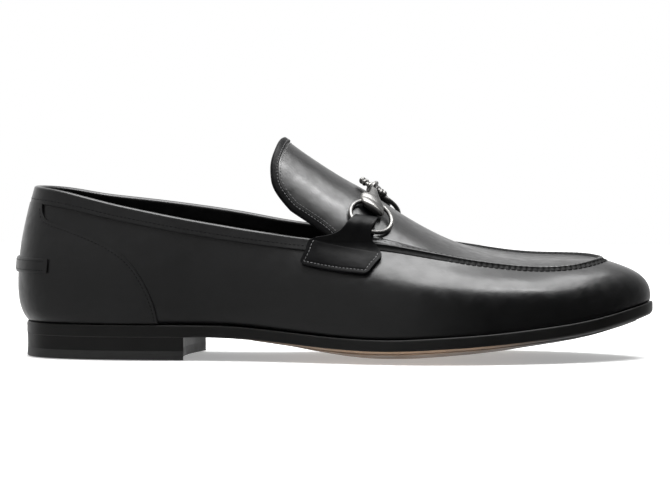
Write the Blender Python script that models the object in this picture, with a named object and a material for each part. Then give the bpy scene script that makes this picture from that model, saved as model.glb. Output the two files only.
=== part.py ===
"""Bit loafer for the right foot: leather sole and heel, lasted upper, straps and snaffle bit.

The toe points along +X, the outer side of the foot is -Y and the floor is Z = 0. The origin is
the middle of the heel's floor face. The upper is a function of two numbers, a station round the
last and a level up its side, and every piece that lies on it is placed through that function.
"""

import functools
import math

import bmesh
import bpy
import numpy as np
from mathutils import Vector

MM = 0.001

# Sole and heel
SOLE_LENGTH = 295 * MM
BALL_WIDTH = 100 * MM
SOLE_EDGE = 5.8 * MM
SOLE_BEVEL = 1.1 * MM
HEEL_LENGTH = 78 * MM
HEEL_HEIGHT = 10.6 * MM
TOP_PIECE = 4.2 * MM
HEEL_INSET = 0.3 * MM
HEEL_TAPER = 0.5 * MM
BREAST_HOLLOW = 4.4 * MM
BREAST_SKEW = 3.6 * MM
TREAD_LIFT = 5.4 * MM
TREAD_BELLY = 6.3 * MM
TOE_SPRING = 21 * MM
TOE_SWING = 5.5 * MM
HEEL_ROUND = 27 * MM
TOE_ROUND = 16 * MM
INSOLE = 2.4 * MM
INSOLE_INSET = 4.5 * MM
INSOLE_TOE_INSET = 2.5 * MM

# Upper
WALL = 1.8 * MM
FEATHER_INSET = 2.2 * MM
LASTING_MARGIN = 5.5 * MM
QUARTER_HEIGHT = 64.5 * MM
TONGUE_HEIGHT = 89 * MM
TOPLINE_START = 4.4 * MM
TOPLINE_LENGTH = 266 * MM
TOPLINE_BACK_ROUND = 20 * MM
APRON_TOE_ROUND = 16 * MM
SEAM_LIP = 0.9 * MM
BULGE = 5 * MM
BULGE_HEIGHT = 17 * MM

# Overlays
COUNTER_THICK = 0.8 * MM
COUNTER_REACH = 66 * MM
BINDING_THICK = 0.7 * MM
BINDING_DEPTH = 6.0 * MM
BINDING_END = 94 * MM
TONGUE_BINDING_DEPTH = 2.4 * MM
TAB_THICK = 1.1 * MM
TAB_HEIGHT = 6.2 * MM
TAB_REACH = 29 * MM
STRAP_THICK = 1.0 * MM
STRAP_WIDTH = 33.5 * MM
PATCH_THICK = 0.9 * MM

# Snaffle bit
RING_RADIUS = 10.0 * MM
WIRE_RADIUS = 1.05 * MM
RING_STAND = 1.7 * MM
RING_UP = 14.6 * MM
BIT_X = 125.4 * MM
STRAP_BACK = 10.4 * MM
BOSS_LENGTH = 13.5 * MM
BOSS_RADIUS = 2.7 * MM
BOSS_IN = 0.7 * MM
BAR_RADIUS = 1.7 * MM
BAR_RISE = 1.6 * MM
LINK_LENGTH = 13 * MM
LINK_WIDTH = 7.6 * MM
LINK_STAND = 3.4 * MM

GAP = 0.3 * MM
OVERLAY_GAP = 0.45 * MM
BACK_X = -HEEL_LENGTH / 2

# Mesh density
STATIONS = 40
BAND_LOWER = 3
BAND_UPPER = 6
JUNCTION = 21
PLUG_COLUMNS = 10
TONGUE_ROWS = 7
SOLE_COLUMNS = 6
INSOLE_COLUMNS = 4
RING_STEPS = 28
WIRE_STEPS = 6

LATERAL = -1
MEDIAL = 1


class Table:
    """Rows of shares under named columns, read on a natural cubic curve through them."""

    def __init__(self, columns, *rows):
        self.names = columns.split()
        self.rows = np.array(rows, float)
        self.bends = {
            name: self.second_slopes(self.rows[:, 0], self.rows[:, i])
            for i, name in enumerate(self.names)
        }

    @staticmethod
    def second_slopes(places, values):
        steps = np.diff(places)
        count = len(places)
        matrix = np.eye(count)
        known = np.zeros(count)
        for i in range(1, count - 1):
            matrix[i, i - 1 : i + 2] = steps[i - 1], 2 * (steps[i - 1] + steps[i]), steps[i]
            rise = (values[i + 1] - values[i]) / steps[i]
            known[i] = 6 * (rise - (values[i] - values[i - 1]) / steps[i - 1])
        return np.linalg.solve(matrix, known)

    def at(self, name, place):
        places = self.rows[:, 0]
        values = self.rows[:, self.names.index(name)]
        bends = self.bends[name]
        place = min(max(place, places[0]), places[-1])
        i = int(min(max(np.searchsorted(places, place) - 1, 0), len(places) - 2))
        step = places[i + 1] - places[i]
        a = (places[i + 1] - place) / step
        b = 1 - a
        curve = (a**3 - a) * bends[i] + (b**3 - b) * bends[i + 1]
        return float(a * values[i] + b * values[i + 1] + curve * step**2 / 6)


# Share of the sole's length over which it is level, above the heel.
SEAT_END = 0.28

# Height of the sole's lower edge: shares of the heel's rise and of the toe's rise above the tread.
SOLE_LINE = Table(
    "along heel toe",
    (0.28, 1.00, 0.00),
    (0.31, 0.985, 0.00),
    (0.35, 0.90, 0.00),
    (0.41, 0.62, 0.00),
    (0.46, 0.35, 0.00),
    (0.51, 0.12, 0.00),
    (0.56, 0.01, 0.00),
    (0.61, 0.00, 0.01),
    (0.66, 0.00, 0.06),
    (0.74, 0.00, 0.16),
    (0.79, 0.00, 0.25),
    (0.84, 0.00, 0.36),
    (0.89, 0.00, 0.49),
    (0.94, 0.00, 0.69),
    (1.00, 0.00, 1.00),
)

# How far the middle of the sole hangs below its edges, and the toe's swing to the inner side.
SOLE_FORM = Table(
    "along belly swing",
    (0.28, 0.00, 0.00),
    (0.36, 0.18, 0.06),
    (0.46, 0.62, 0.20),
    (0.56, 0.97, 0.37),
    (0.63, 1.00, 0.52),
    (0.72, 0.90, 0.68),
    (0.82, 0.68, 0.84),
    (0.92, 0.44, 0.95),
    (0.97, 0.20, 0.99),
    (1.00, 0.00, 1.00),
)

# Half widths of the sole from its middle line, as shares of the ball's width.
SOLE_PLAN = Table(
    "along lateral medial",
    (0.034, 0.210, 0.210),
    (0.068, 0.265, 0.265),
    (0.118, 0.305, 0.300),
    (0.169, 0.320, 0.310),
    (0.253, 0.320, 0.300),
    (0.304, 0.318, 0.285),
    (0.355, 0.330, 0.273),
    (0.405, 0.357, 0.278),
    (0.456, 0.396, 0.304),
    (0.507, 0.440, 0.350),
    (0.557, 0.485, 0.400),
    (0.608, 0.515, 0.440),
    (0.659, 0.525, 0.464),
    (0.709, 0.516, 0.469),
    (0.760, 0.491, 0.454),
    (0.811, 0.451, 0.419),
    (0.861, 0.395, 0.365),
    (0.912, 0.312, 0.288),
    (0.946, 0.240, 0.221),
    (0.973, 0.163, 0.155),
)

# Half widths of the line where the side of the upper ends: collar behind, apron seam in front.
TOPLINE_PLAN = Table(
    "along lateral medial",
    (0.052, 0.195, 0.195),
    (0.109, 0.250, 0.250),
    (0.164, 0.275, 0.275),
    (0.220, 0.290, 0.290),
    (0.275, 0.300, 0.300),
    (0.330, 0.305, 0.304),
    (0.385, 0.316, 0.308),
    (0.440, 0.329, 0.313),
    (0.495, 0.344, 0.318),
    (0.550, 0.353, 0.318),
    (0.610, 0.350, 0.312),
    (0.690, 0.328, 0.300),
    (0.775, 0.300, 0.283),
    (0.830, 0.278, 0.265),
    (0.890, 0.243, 0.237),
    (0.945, 0.190, 0.188),
    (0.980, 0.120, 0.120),
)

# The same line's height over the sole's upper edge, and the slope of the side at that line.
TOPLINE_HEIGHT = Table(
    "along lateral medial slope",
    (0.000, 0.968, 0.968, 75),
    (0.050, 0.946, 0.944, 77),
    (0.105, 0.898, 0.902, 79),
    (0.160, 0.846, 0.873, 79),
    (0.215, 0.800, 0.847, 79),
    (0.270, 0.757, 0.818, 79),
    (0.325, 0.719, 0.787, 79),
    (0.380, 0.692, 0.758, 77),
    (0.430, 0.680, 0.737, 74),
    (0.485, 0.673, 0.727, 69),
    (0.545, 0.672, 0.722, 62),
    (0.610, 0.668, 0.706, 53),
    (0.690, 0.606, 0.646, 42),
    (0.780, 0.514, 0.570, 33),
    (0.835, 0.464, 0.521, 29),
    (0.890, 0.420, 0.483, 25),
    (0.945, 0.397, 0.455, 21),
    (0.980, 0.397, 0.428, 19),
    (1.000, 0.402, 0.402, 17),
)

# How far the side of the upper stands out over the sole's edge, how high, and how full it is above.
SIDE_FORM = Table(
    "along lateral medial height fullness",
    (0.00, 0.62, 0.62, 1.00, 0.34),
    (0.06, 0.52, 0.52, 1.00, 0.34),
    (0.14, 0.44, 0.44, 1.00, 0.34),
    (0.25, 0.52, 0.62, 0.97, 0.36),
    (0.35, 0.62, 1.00, 0.93, 0.38),
    (0.45, 0.46, 0.86, 0.84, 0.42),
    (0.55, 0.20, 0.40, 0.74, 0.48),
    (0.65, 0.04, 0.08, 0.66, 0.54),
    (0.75, -0.08, -0.06, 0.58, 0.58),
    (0.85, -0.14, -0.14, 0.46, 0.60),
    (0.94, -0.20, -0.20, 0.28, 0.62),
    (1.00, -0.22, -0.22, 0.17, 0.64),
)

# Height of the ridge of tongue and apron over the sole's upper edge, and how round the arch is.
RIDGE = Table(
    "along height arch",
    (0.380, 1.045, 80),
    (0.408, 1.000, 80),
    (0.436, 0.942, 79),
    (0.474, 0.868, 76),
    (0.512, 0.800, 71),
    (0.538, 0.757, 65),
    (0.588, 0.652, 54),
    (0.626, 0.571, 46),
    (0.664, 0.497, 38),
    (0.690, 0.454, 34),
    (0.714, 0.421, 30),
    (0.765, 0.371, 25),
    (0.816, 0.338, 20),
    (0.866, 0.318, 16),
    (0.918, 0.291, 14),
)

# The tongue's upper edge, from the ridge out to its corner, as shares of the sole's length.
TONGUE_TIP = Table(
    "across along",
    (0.00, 0.4150),
    (0.20, 0.4115),
    (0.37, 0.4070),
    (0.50, 0.4035),
    (0.60, 0.4045),
    (0.68, 0.4100),
    (0.79, 0.4360),
)
TONGUE_CORNER = 0.79
TONGUE_SIDE_BEND = 0.5

# Forward edge of the heel counter: reach along the shoe at each height under the binding.
COUNTER_LINE = Table(
    "height reach",
    (0.00, 1.000),
    (0.12, 0.985),
    (0.24, 0.950),
    (0.40, 0.880),
    (0.56, 0.765),
    (0.67, 0.620),
    (0.76, 0.440),
    (0.82, 0.290),
    (0.86, 0.195),
    (0.90, 0.165),
    (1.00, 0.155),
)
COUNTER_ROWS = (0.0, 0.07, 0.15, 0.23, 0.33, 0.44, 0.55, 0.66, 0.75, 0.81, 0.86, 0.91, 1.0)

# A strap's run over the girth, as shares of the ring's radius: up from the topline, drop of its
# front corner and stand off; middle along the shoe and half width are shares of the strap's width.
# The first rows lie on the side, the next cross the ring's wire, the last come back under it.
STRAP_RUN = Table(
    "run up drop middle half stand",
    (0.00, -1.60, 0.28, -0.150, 0.475, 0.08),
    (0.10, -1.20, 0.30, -0.100, 0.485, 0.08),
    (0.20, -0.78, 0.33, -0.045, 0.495, 0.08),
    (0.29, -0.38, 0.34, 0.000, 0.500, 0.09),
    (0.36, -0.06, 0.24, 0.030, 0.420, 0.15),
    (0.42, 0.18, 0.11, 0.070, 0.290, 0.28),
    (0.48, 0.42, 0.04, 0.120, 0.205, 0.45),
    (0.55, 0.70, 0.00, 0.160, 0.180, 0.56),
    (0.62, 0.96, 0.00, 0.200, 0.165, 0.53),
    (0.69, 1.20, 0.00, 0.232, 0.150, 0.41),
    (0.75, 1.32, 0.00, 0.242, 0.143, 0.26),
    (0.81, 1.25, 0.00, 0.242, 0.143, 0.11),
    (0.87, 1.04, 0.00, 0.240, 0.140, 0.08),
    (0.94, 0.76, 0.00, 0.235, 0.140, 0.08),
    (1.00, 0.50, 0.00, 0.235, 0.140, 0.08),
)
PATCH_RUN = 0.30
PATCH_ROWS = 4
STRAP_ROWS = 20
STRAP_COLUMNS = 4


def lerp(a, b, share):
    return a + (b - a) * share


def along_of(x):
    """Share of the sole's length at a place along the shoe."""
    return (x - BACK_X) / SOLE_LENGTH


def sole_edge(x):
    """Height of the sole's lower edge, level over the heel."""
    along = along_of(x)
    if along < SEAT_END:
        return HEEL_HEIGHT
    heel = (HEEL_HEIGHT - TREAD_LIFT) * SOLE_LINE.at("heel", along)
    toe = (TOE_SPRING - TREAD_LIFT) * SOLE_LINE.at("toe", along)
    return TREAD_LIFT + heel + toe


def belly(x):
    """How far the middle of the sole hangs below its edges."""
    along = along_of(x)
    return 0.0 if along < SEAT_END else TREAD_BELLY * SOLE_FORM.at("belly", along)


def middle(x):
    """Where the shoe's middle line runs, which swings to the inner side at the toe."""
    along = along_of(x)
    return 0.0 if along < SEAT_END else TOE_SWING * SOLE_FORM.at("swing", along)


class Plan:
    """A closed outline seen from above, rounded at both ends, read by an angle from its back."""

    def __init__(self, table, start, length, back_round, front_round):
        self.start = start
        self.length = length
        turns = [math.acos(1 - 2 * row[0]) for row in table.rows]
        ends = [math.sqrt(radius * length / 2) for radius in (back_round, front_round)]
        rows = [(0.0, ends[0], ends[0])]
        for turn, row in zip(turns, table.rows):
            scale = BALL_WIDTH / math.sin(turn)
            rows.append((turn, row[1] * scale, row[2] * scale))
        rows.append((math.pi, ends[1], ends[1]))
        self.widths = Table("turn lateral medial", *rows)

    def turn_at(self, x):
        share = min(max((x - self.start) / self.length, 0.0), 1.0)
        return math.acos(1 - 2 * share)

    def half_width(self, turn, side):
        name = "lateral" if side < 0 else "medial"
        return self.widths.at(name, turn) * math.sin(turn)

    def point(self, turn, side):
        x = self.start + self.length * (1 - math.cos(turn)) / 2
        return Vector((x, middle(x) + side * self.half_width(turn, side), 0))

    def outward(self, turn, side):
        """The level direction that leaves the outline at a right angle."""
        step = 0.004
        before = self.ring_point(side * turn - step)
        after = self.ring_point(side * turn + step)
        run = after - before
        return Vector((run.y, -run.x, 0)).normalized() * -1

    def ring_point(self, ring_turn):
        """The outline by one angle that is below zero on the outer side."""
        side = LATERAL if ring_turn < 0 else MEDIAL
        turn = abs(ring_turn)
        if turn > math.pi:
            turn = 2 * math.pi - turn
            side = -side
        return self.point(turn, side)

    def offset(self, turn, side, out):
        return self.point(turn, side) + self.outward(turn, side) * out


SOLE = Plan(SOLE_PLAN, BACK_X, SOLE_LENGTH, HEEL_ROUND, TOE_ROUND)
TOPLINE = Plan(
    TOPLINE_PLAN, BACK_X + TOPLINE_START, TOPLINE_LENGTH, TOPLINE_BACK_ROUND, APRON_TOE_ROUND
)


def sole_under(x, across):
    """Height of the sole's underside; across is -1 at the outer edge and 1 at the inner one."""
    return max(0.0, sole_edge(x) - belly(x) * (1 - across * across))


def sole_over(x, across):
    """Height of the sole's upper face."""
    return sole_edge(x) + SOLE_EDGE - belly(x) * (1 - across * across)


def across_of(point):
    """Where a point lies between the sole's two edges."""
    side = LATERAL if point.y < middle(point.x) else MEDIAL
    half = SOLE.half_width(SOLE.turn_at(point.x), side)
    return (point.y - middle(point.x)) / max(half, MM)


def on_sole(point, lift):
    """The point dropped on the sole's upper face, or held above it by lift."""
    across = min(max(across_of(point), -1.0), 1.0)
    return Vector((point.x, point.y, sole_over(point.x, across) + lift))


@functools.cache
def topline(turn, side):
    """The upper end of the side: the collar's edge behind, the apron seam in front."""
    place = TOPLINE.point(turn, side)
    share = (1 - math.cos(turn)) / 2
    name = "lateral" if side < 0 else "medial"
    rise = QUARTER_HEIGHT * TOPLINE_HEIGHT.at(name, share)
    place.z = sole_edge(place.x) + SOLE_EDGE + rise
    return place


@functools.cache
def feather(turn, side):
    """Where the upper meets the sole."""
    return on_sole(SOLE.offset(turn, side, -FEATHER_INSET), GAP)


@functools.cache
def bulge(turn, side):
    """The widest point of the side."""
    share = (1 - math.cos(turn)) / 2
    name = "lateral" if side < 0 else "medial"
    place = SOLE.offset(turn, side, BULGE * SIDE_FORM.at(name, share))
    place.z = feather(turn, side).z + BULGE_HEIGHT * SIDE_FORM.at("height", share)
    return place


@functools.cache
def side_curve(turn, side):
    """The four points of the curve from the widest point up to the topline."""
    share = (1 - math.cos(turn)) / 2
    low, high = bulge(turn, side), topline(turn, side)
    slope = math.radians(TOPLINE_HEIGHT.at("slope", share))
    fullness = SIDE_FORM.at("fullness", share)
    out = TOPLINE.outward(turn, side) * math.cos(slope) - Vector((0, 0, math.sin(slope)))
    reach = 0.42 * (high - low).length
    return low, low + Vector((0, 0, fullness * (high.z - low.z))), high + out * reach, high


def bezier(points, t):
    a, b, c, d = points
    s = 1 - t
    return a * s**3 + b * (3 * s * s * t) + c * (3 * s * t * t) + d * t**3


def side_point(turn, side, level):
    """A point of the upper's side: level 0 is the feather edge, 1 the widest point, 2 the topline."""
    if level >= 1:
        return bezier(side_curve(turn, side), level - 1)
    low, high = feather(turn, side), bulge(turn, side)
    knee = Vector((high.x, high.y, lerp(low.z, high.z, 0.25)))
    s = 1 - level
    return low * s * s + knee * (2 * s * level) + high * level * level


def arch_point(x, across):
    """A point of apron or tongue; across is -1 and 1 at the topline and 0 on the ridge."""
    side = LATERAL if across < 0 else MEDIAL
    edge = topline(TOPLINE.turn_at(x), side)
    along = along_of(x)
    top = sole_edge(x) + SOLE_EDGE + TONGUE_HEIGHT * RIDGE.at("height", along)
    arch = math.radians(RIDGE.at("arch", along))
    turn = abs(across) * arch
    half = (edge.y - middle(x)) * math.sin(turn) / math.sin(arch)
    drop = (top - edge.z) * (1 - math.cos(turn)) / (1 - math.cos(arch))
    return Vector((x, middle(x) + half, top - drop))


def tongue_place(back, across):
    """Place along the shoe and across its arch: back is 0 at the junction and 1 at the free edge."""
    junction_x = TOPLINE.point(station(JUNCTION), LATERAL).x
    tip = BACK_X + SOLE_LENGTH * TONGUE_TIP.at("along", abs(across) * TONGUE_CORNER)
    narrow = 1 - (1 - TONGUE_CORNER) * back**TONGUE_SIDE_BEND
    return lerp(junction_x, tip, back), across * narrow


def station(k):
    return math.pi * k / STATIONS


def fresh_scene():
    for obj in list(bpy.data.objects):
        bpy.data.objects.remove(obj)


def material(name, colour, roughness, metallic=0.0):
    made = bpy.data.materials.new(name)
    made.use_nodes = True
    shader = made.node_tree.nodes["Principled BSDF"]
    shader.inputs["Base Color"].default_value = (*colour, 1)
    shader.inputs["Roughness"].default_value = roughness
    shader.inputs["Metallic"].default_value = metallic
    return made


def node_from(name, bm, finish, sharp=40):
    """Makes a bmesh into a named object with its faces smooth up to the sharp angle."""
    mesh = bpy.data.meshes.new(name)
    bm.to_mesh(mesh)
    bm.free()
    mesh.shade_smooth()
    mesh.set_sharp_from_angle(angle=math.radians(sharp))
    mesh.materials.append(finish)
    obj = bpy.data.objects.new(name, mesh)
    bpy.context.scene.collection.objects.link(obj)
    return obj


def sheet(bm, columns, rows, place):
    """A grid whose points go where place(column, row) says."""
    made = bmesh.ops.create_grid(bm, x_segments=columns, y_segments=rows, size=1)
    for vert in made["verts"]:
        column = round((vert.co.x + 1) / 2 * columns)
        row = round((vert.co.y + 1) / 2 * rows)
        vert.co = place(column, row)
    return made["verts"]


def face_outwards(bm):
    """Turns the faces of a closed shape out of it."""
    bmesh.ops.recalc_face_normals(bm, faces=bm.faces)
    if bm.calc_volume(signed=True) < 0:
        bmesh.ops.reverse_faces(bm, faces=bm.faces)


def weld(bm):
    bmesh.ops.remove_doubles(bm, verts=bm.verts, dist=0.02 * MM)
    bmesh.ops.recalc_face_normals(bm, faces=bm.faces)


def face_out(bm):
    """Turns an open shell's faces away from the inside of the shoe."""
    heart = sum((v.co for v in bm.verts), Vector()) / len(bm.verts)
    outward = sum((f.calc_center_median() - heart).dot(f.normal) * f.calc_area() for f in bm.faces)
    if outward < 0:
        bmesh.ops.reverse_faces(bm, faces=bm.faces)


def thicken(obj, thickness, offset):
    """Gives a sheet its thickness: offset -1 is all inwards, 1 all outwards, 0 both."""
    wall = obj.modifiers.new("wall", "SOLIDIFY")
    wall.thickness = thickness
    wall.offset = offset
    wall.use_even_offset = True
    wall.use_quality_normals = True
    return obj


def ring_station(column):
    """Angle and side of a column that runs from the toe round the outer side and back."""
    k = column - STATIONS
    return station(abs(k)), LATERAL if k < 0 else MEDIAL


def rim(turn, side, inset):
    """The sole's outline brought in by inset, its two ends kept on the middle line."""
    place = SOLE.offset(turn, side, -inset)
    if math.sin(turn) < 1e-6:
        place.y = middle(place.x)
    return place


def sole_sheet(bm, columns, inset, height):
    """Fills the outline, brought in by inset, with a sheet whose height follows the sole."""

    def place(column, row):
        across = 2 * row / columns - 1
        edge = rim(station(column), LATERAL if across < 0 else MEDIAL, inset)
        line = middle(edge.x)
        return Vector((edge.x, line + abs(across) * (edge.y - line), height(edge.x, across)))

    sheet(bm, STATIONS, columns, place)


def build_outsole(finish):
    """Leather sole hollowed to the last, hanging to the floor under the ball, bevelled below."""
    bm = bmesh.new()

    def edge_band(column, row):
        turn, side = ring_station(column)
        place = rim(turn, side, SOLE_BEVEL if row == 0 else 0)
        lift = (0, SOLE_BEVEL, SOLE_EDGE)[row]
        place.z = sole_edge(place.x) + lift
        return place

    sole_sheet(bm, SOLE_COLUMNS, 0, sole_over)
    sole_sheet(bm, SOLE_COLUMNS, SOLE_BEVEL, sole_under)
    sheet(bm, 2 * STATIONS, 2, edge_band)
    bmesh.ops.remove_doubles(bm, verts=bm.verts, dist=0.02 * MM)
    face_outwards(bm)
    return node_from("outsole", bm, finish)


def heel_outline(inset):
    """Points round the heel: the sole's outline behind, and the hollow breast across the front."""
    corner = SOLE.turn_at(BACK_X + HEEL_LENGTH)
    steps = 12
    turns = [corner * i / steps for i in range(-steps, steps + 1)]
    points = [SOLE.offset(abs(t), LATERAL if t < 0 else MEDIAL, -inset) for t in turns]
    front_turn = SOLE.turn_at(BACK_X + HEEL_LENGTH + BREAST_SKEW)
    points[-1] = SOLE.offset(front_turn, MEDIAL, -inset)
    outer, inner = points[0], points[-1]
    breast_steps = 6
    for i in range(1, breast_steps):
        share = 1 - i / breast_steps
        hollow = BREAST_HOLLOW * (1 - (2 * share - 1) ** 2)
        points.append(outer.lerp(inner, share) - Vector((hollow, 0, 0)))
    return points


def build_heel_slab(name, finish, top, bottom, top_inset, bottom_inset):
    """One layer of the heel, from its upper face down to its lower one."""
    bm = bmesh.new()
    verts = [bm.verts.new((p.x, p.y, top(p))) for p in heel_outline(top_inset)]
    face = bm.faces.new(verts)
    made = bmesh.ops.extrude_face_region(bm, geom=[face])
    lower = [item for item in made["geom"] if isinstance(item, bmesh.types.BMVert)]
    below = heel_outline(bottom_inset)
    for vert in lower:
        nearest = min(range(len(verts)), key=lambda i: (verts[i].co - vert.co).length)
        vert.co = Vector((below[nearest].x, below[nearest].y, bottom))
    bmesh.ops.recalc_face_normals(bm, faces=bm.faces)
    return node_from(name, bm, finish)


def build_heel(leather, rubber):
    build_heel_slab(
        "heel",
        leather,
        lambda p: sole_edge(p.x) - GAP,
        TOP_PIECE + GAP,
        HEEL_INSET,
        HEEL_INSET + HEEL_TAPER / 2,
    )
    build_heel_slab(
        "heel_top_piece",
        rubber,
        lambda p: TOP_PIECE,
        0.0,
        HEEL_INSET + HEEL_TAPER / 2,
        HEEL_INSET,
    )


def build_insole(finish):
    """Insole board with its sock, lying on the upper's turned-in edge."""
    bm = bmesh.new()

    def place(column, row):
        across = 2 * row / INSOLE_COLUMNS - 1
        share = (1 - math.cos(station(column))) / 2
        toe = max(0.0, share - 0.85) / 0.15
        inset = INSOLE_INSET + INSOLE_TOE_INSET * toe
        edge = rim(station(column), LATERAL if across < 0 else MEDIAL, inset)
        line = middle(edge.x)
        flat = Vector((edge.x, line + abs(across) * (edge.y - line), 0))
        return on_sole(flat, 2 * GAP + WALL)

    sheet(bm, STATIONS, INSOLE_COLUMNS, place)
    weld(bm)
    if sum(face.normal.z for face in bm.faces) < 0:
        bmesh.ops.reverse_faces(bm, faces=bm.faces)
    return thicken(node_from("insole", bm, finish), INSOLE, 1)


def seam_fade(turn):
    """1 along the apron seam, and 0 along the collar behind it."""
    share = (turn - station(JUNCTION)) / (station(JUNCTION + 2) - station(JUNCTION))
    share = min(max(share, 0.0), 1.0)
    return share * share * (3 - 2 * share)


LIP_LEVEL = 1.972
BAND_LEVELS = (
    [i / BAND_LOWER for i in range(BAND_LOWER)]
    + [1 + 0.93 * i / (BAND_UPPER - 1) for i in range(BAND_UPPER)]
    + [LIP_LEVEL, 2.0]
)


def upper_band_point(turn, side, level):
    """The side with the raised lip that runs along the apron seam."""
    point = side_point(turn, side, level)
    if level == LIP_LEVEL:
        point = point + Vector((0, 0, SEAM_LIP * seam_fade(turn)))
    return point


def build_upper(finish):
    """Vamp, quarters, apron and tongue as one hollow wall, turned in under its feather edge."""
    bm = bmesh.new()

    def band(column, row):
        turn, side = ring_station(column)
        if row == 0:
            return on_sole(SOLE.offset(turn, side, -FEATHER_INSET - LASTING_MARGIN), GAP)
        return upper_band_point(turn, side, BAND_LEVELS[row - 1])

    def plug(column, row):
        across = 2 * column / PLUG_COLUMNS - 1
        if row < TONGUE_ROWS:
            x, across = tongue_place(1 - row / TONGUE_ROWS, across)
            return arch_point(x, across)
        turn = station(JUNCTION + row - TONGUE_ROWS)
        return arch_point(TOPLINE.point(turn, LATERAL).x, across)

    sheet(bm, 2 * STATIONS, len(BAND_LEVELS), band)
    sheet(bm, PLUG_COLUMNS, TONGUE_ROWS + STATIONS - JUNCTION, plug)
    weld(bm)
    face_out(bm)
    return thicken(node_from("upper", bm, finish), WALL, -1)


def skin_normal(surface, a, b, step_a, step_b):
    """Unit normal of surface(a, b), pointing out of the shoe."""
    along = surface(a + step_a, b) - surface(a - step_a, b)
    up = surface(a, b + step_b) - surface(a, b - step_b)
    return along.cross(up).normalized()


def ring_side(ring_turn, level):
    """The side by one angle that is below zero on the outer side."""
    side = LATERAL if ring_turn < 0 else MEDIAL
    return side_point(min(abs(ring_turn), math.pi), side, level)


@functools.cache
def side_normal(ring_turn, level):
    level = min(max(level, 0.02), 1.98)
    normal = skin_normal(ring_side, ring_turn, level, 0.01, 0.01)
    outward = SOLE.outward(abs(ring_turn), LATERAL if ring_turn < 0 else MEDIAL)
    return normal if normal.dot(outward) > 0 else -normal


def level_at_height(ring_turn, height):
    """The level of the side at a height."""
    low, high = 0.0, 2.0
    for _ in range(30):
        half = (low + high) / 2
        if ring_side(ring_turn, half).z < height:
            low = half
        else:
            high = half
    return low


@functools.cache
def level_below_topline(ring_turn, depth):
    """The level of the side at a depth under the topline, measured on the side."""
    steps = 60
    last = ring_side(ring_turn, 2.0)
    run = 0.0
    for i in range(1, steps):
        level = 2 - i / steps
        point = ring_side(ring_turn, level)
        run += (point - last).length
        if run >= depth:
            return level
        last = point
    return 1.0


@functools.cache
def counter_turn(height_share, top):
    """The angle that the counter reaches at a share of its height."""
    reach = BACK_X + COUNTER_REACH * COUNTER_LINE.at("reach", height_share)
    base = sole_edge(reach) + SOLE_EDGE + GAP
    height = lerp(base, top, height_share)
    low, high = 0.0, math.pi / 2
    for _ in range(30):
        half = (low + high) / 2
        if ring_side(half, level_at_height(half, height)).x < reach:
            low = half
        else:
            high = half
    return low


def build_counter(finish):
    """Heel counter laid over the quarters, its edge sweeping down and forward to the sole."""
    bm = bmesh.new()
    top = topline(0, LATERAL).z - BINDING_DEPTH - 3 * GAP
    columns = 20

    def place(column, row):
        share = COUNTER_ROWS[row]
        ring_turn = counter_turn(share, top) * (2 * column / columns - 1)
        base = ring_side(ring_turn, 0.0).z + 2 * GAP
        level = level_at_height(ring_turn, lerp(base, top, share))
        level = min(level, level_below_topline(ring_turn, BINDING_DEPTH + 3 * GAP))
        return ring_side(ring_turn, level) + side_normal(ring_turn, level) * OVERLAY_GAP

    sheet(bm, columns, len(COUNTER_ROWS) - 1, place)
    weld(bm)
    face_out(bm)
    return thicken(node_from("heel_counter", bm, finish), COUNTER_THICK, 1)


def build_heel_tab(finish):
    """Short band that crosses the back seam on top of the counter."""
    bm = bmesh.new()
    columns, rows = 12, 3
    centre = sole_edge(BACK_X) + SOLE_EDGE + 0.415 * QUARTER_HEIGHT
    stand = OVERLAY_GAP + COUNTER_THICK + OVERLAY_GAP

    def place(column, row):
        share = 2 * column / columns - 1
        ring_turn = share * TAB_REACH / math.sqrt(HEEL_ROUND * SOLE_LENGTH / 2)
        level = level_at_height(ring_turn, centre + TAB_HEIGHT * (row / rows - 0.5))
        return ring_side(ring_turn, level) + side_normal(ring_turn, level) * stand

    sheet(bm, columns, rows, place)
    weld(bm)
    face_out(bm)
    return thicken(node_from("heel_tab", bm, finish), TAB_THICK, 1)


def build_collar_binding(finish):
    """Folded strip over the collar's edge, from strap to strap round the back."""
    bm = bmesh.new()
    columns = 30
    end = TOPLINE.turn_at(BINDING_END)
    lift = GAP + BINDING_THICK / 2
    inner = WALL + lift
    round_over = (WALL + 2 * lift) / 2
    section = (
        (BINDING_DEPTH, lift),
        (0.5 * BINDING_DEPTH, lift),
        (0.0, lift),
        (-0.75 * round_over, lift - 0.4 * round_over),
        (-0.75 * round_over, 0.4 * round_over - inner),
        (0.0, -inner),
        (0.85 * BINDING_DEPTH, -inner),
    )

    def place(column, row):
        ring_turn = end * (2 * column / columns - 1)
        depth, out = section[row]
        level = level_below_topline(ring_turn, max(depth, 0.0)) if depth > 0 else 2.0
        point = ring_side(ring_turn, level)
        rise = (ring_side(ring_turn, 2.0) - ring_side(ring_turn, 1.96)).normalized()
        return point + side_normal(ring_turn, level) * out + rise * max(-depth, 0.0)

    sheet(bm, columns, len(section) - 1, place)
    weld(bm)
    return thicken(node_from("collar_binding", bm, finish), BINDING_THICK, 0)


def tongue_edge(share):
    """The tongue's free edge from the outer junction, over the tip, to the inner one."""
    side_part = 0.34
    if share < side_part:
        return tongue_place(share / side_part, -1)
    if share > 1 - side_part:
        return tongue_place((1 - share) / side_part, 1)
    across = 2 * (share - side_part) / (1 - 2 * side_part) - 1
    return tongue_place(1.0, across)


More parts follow.
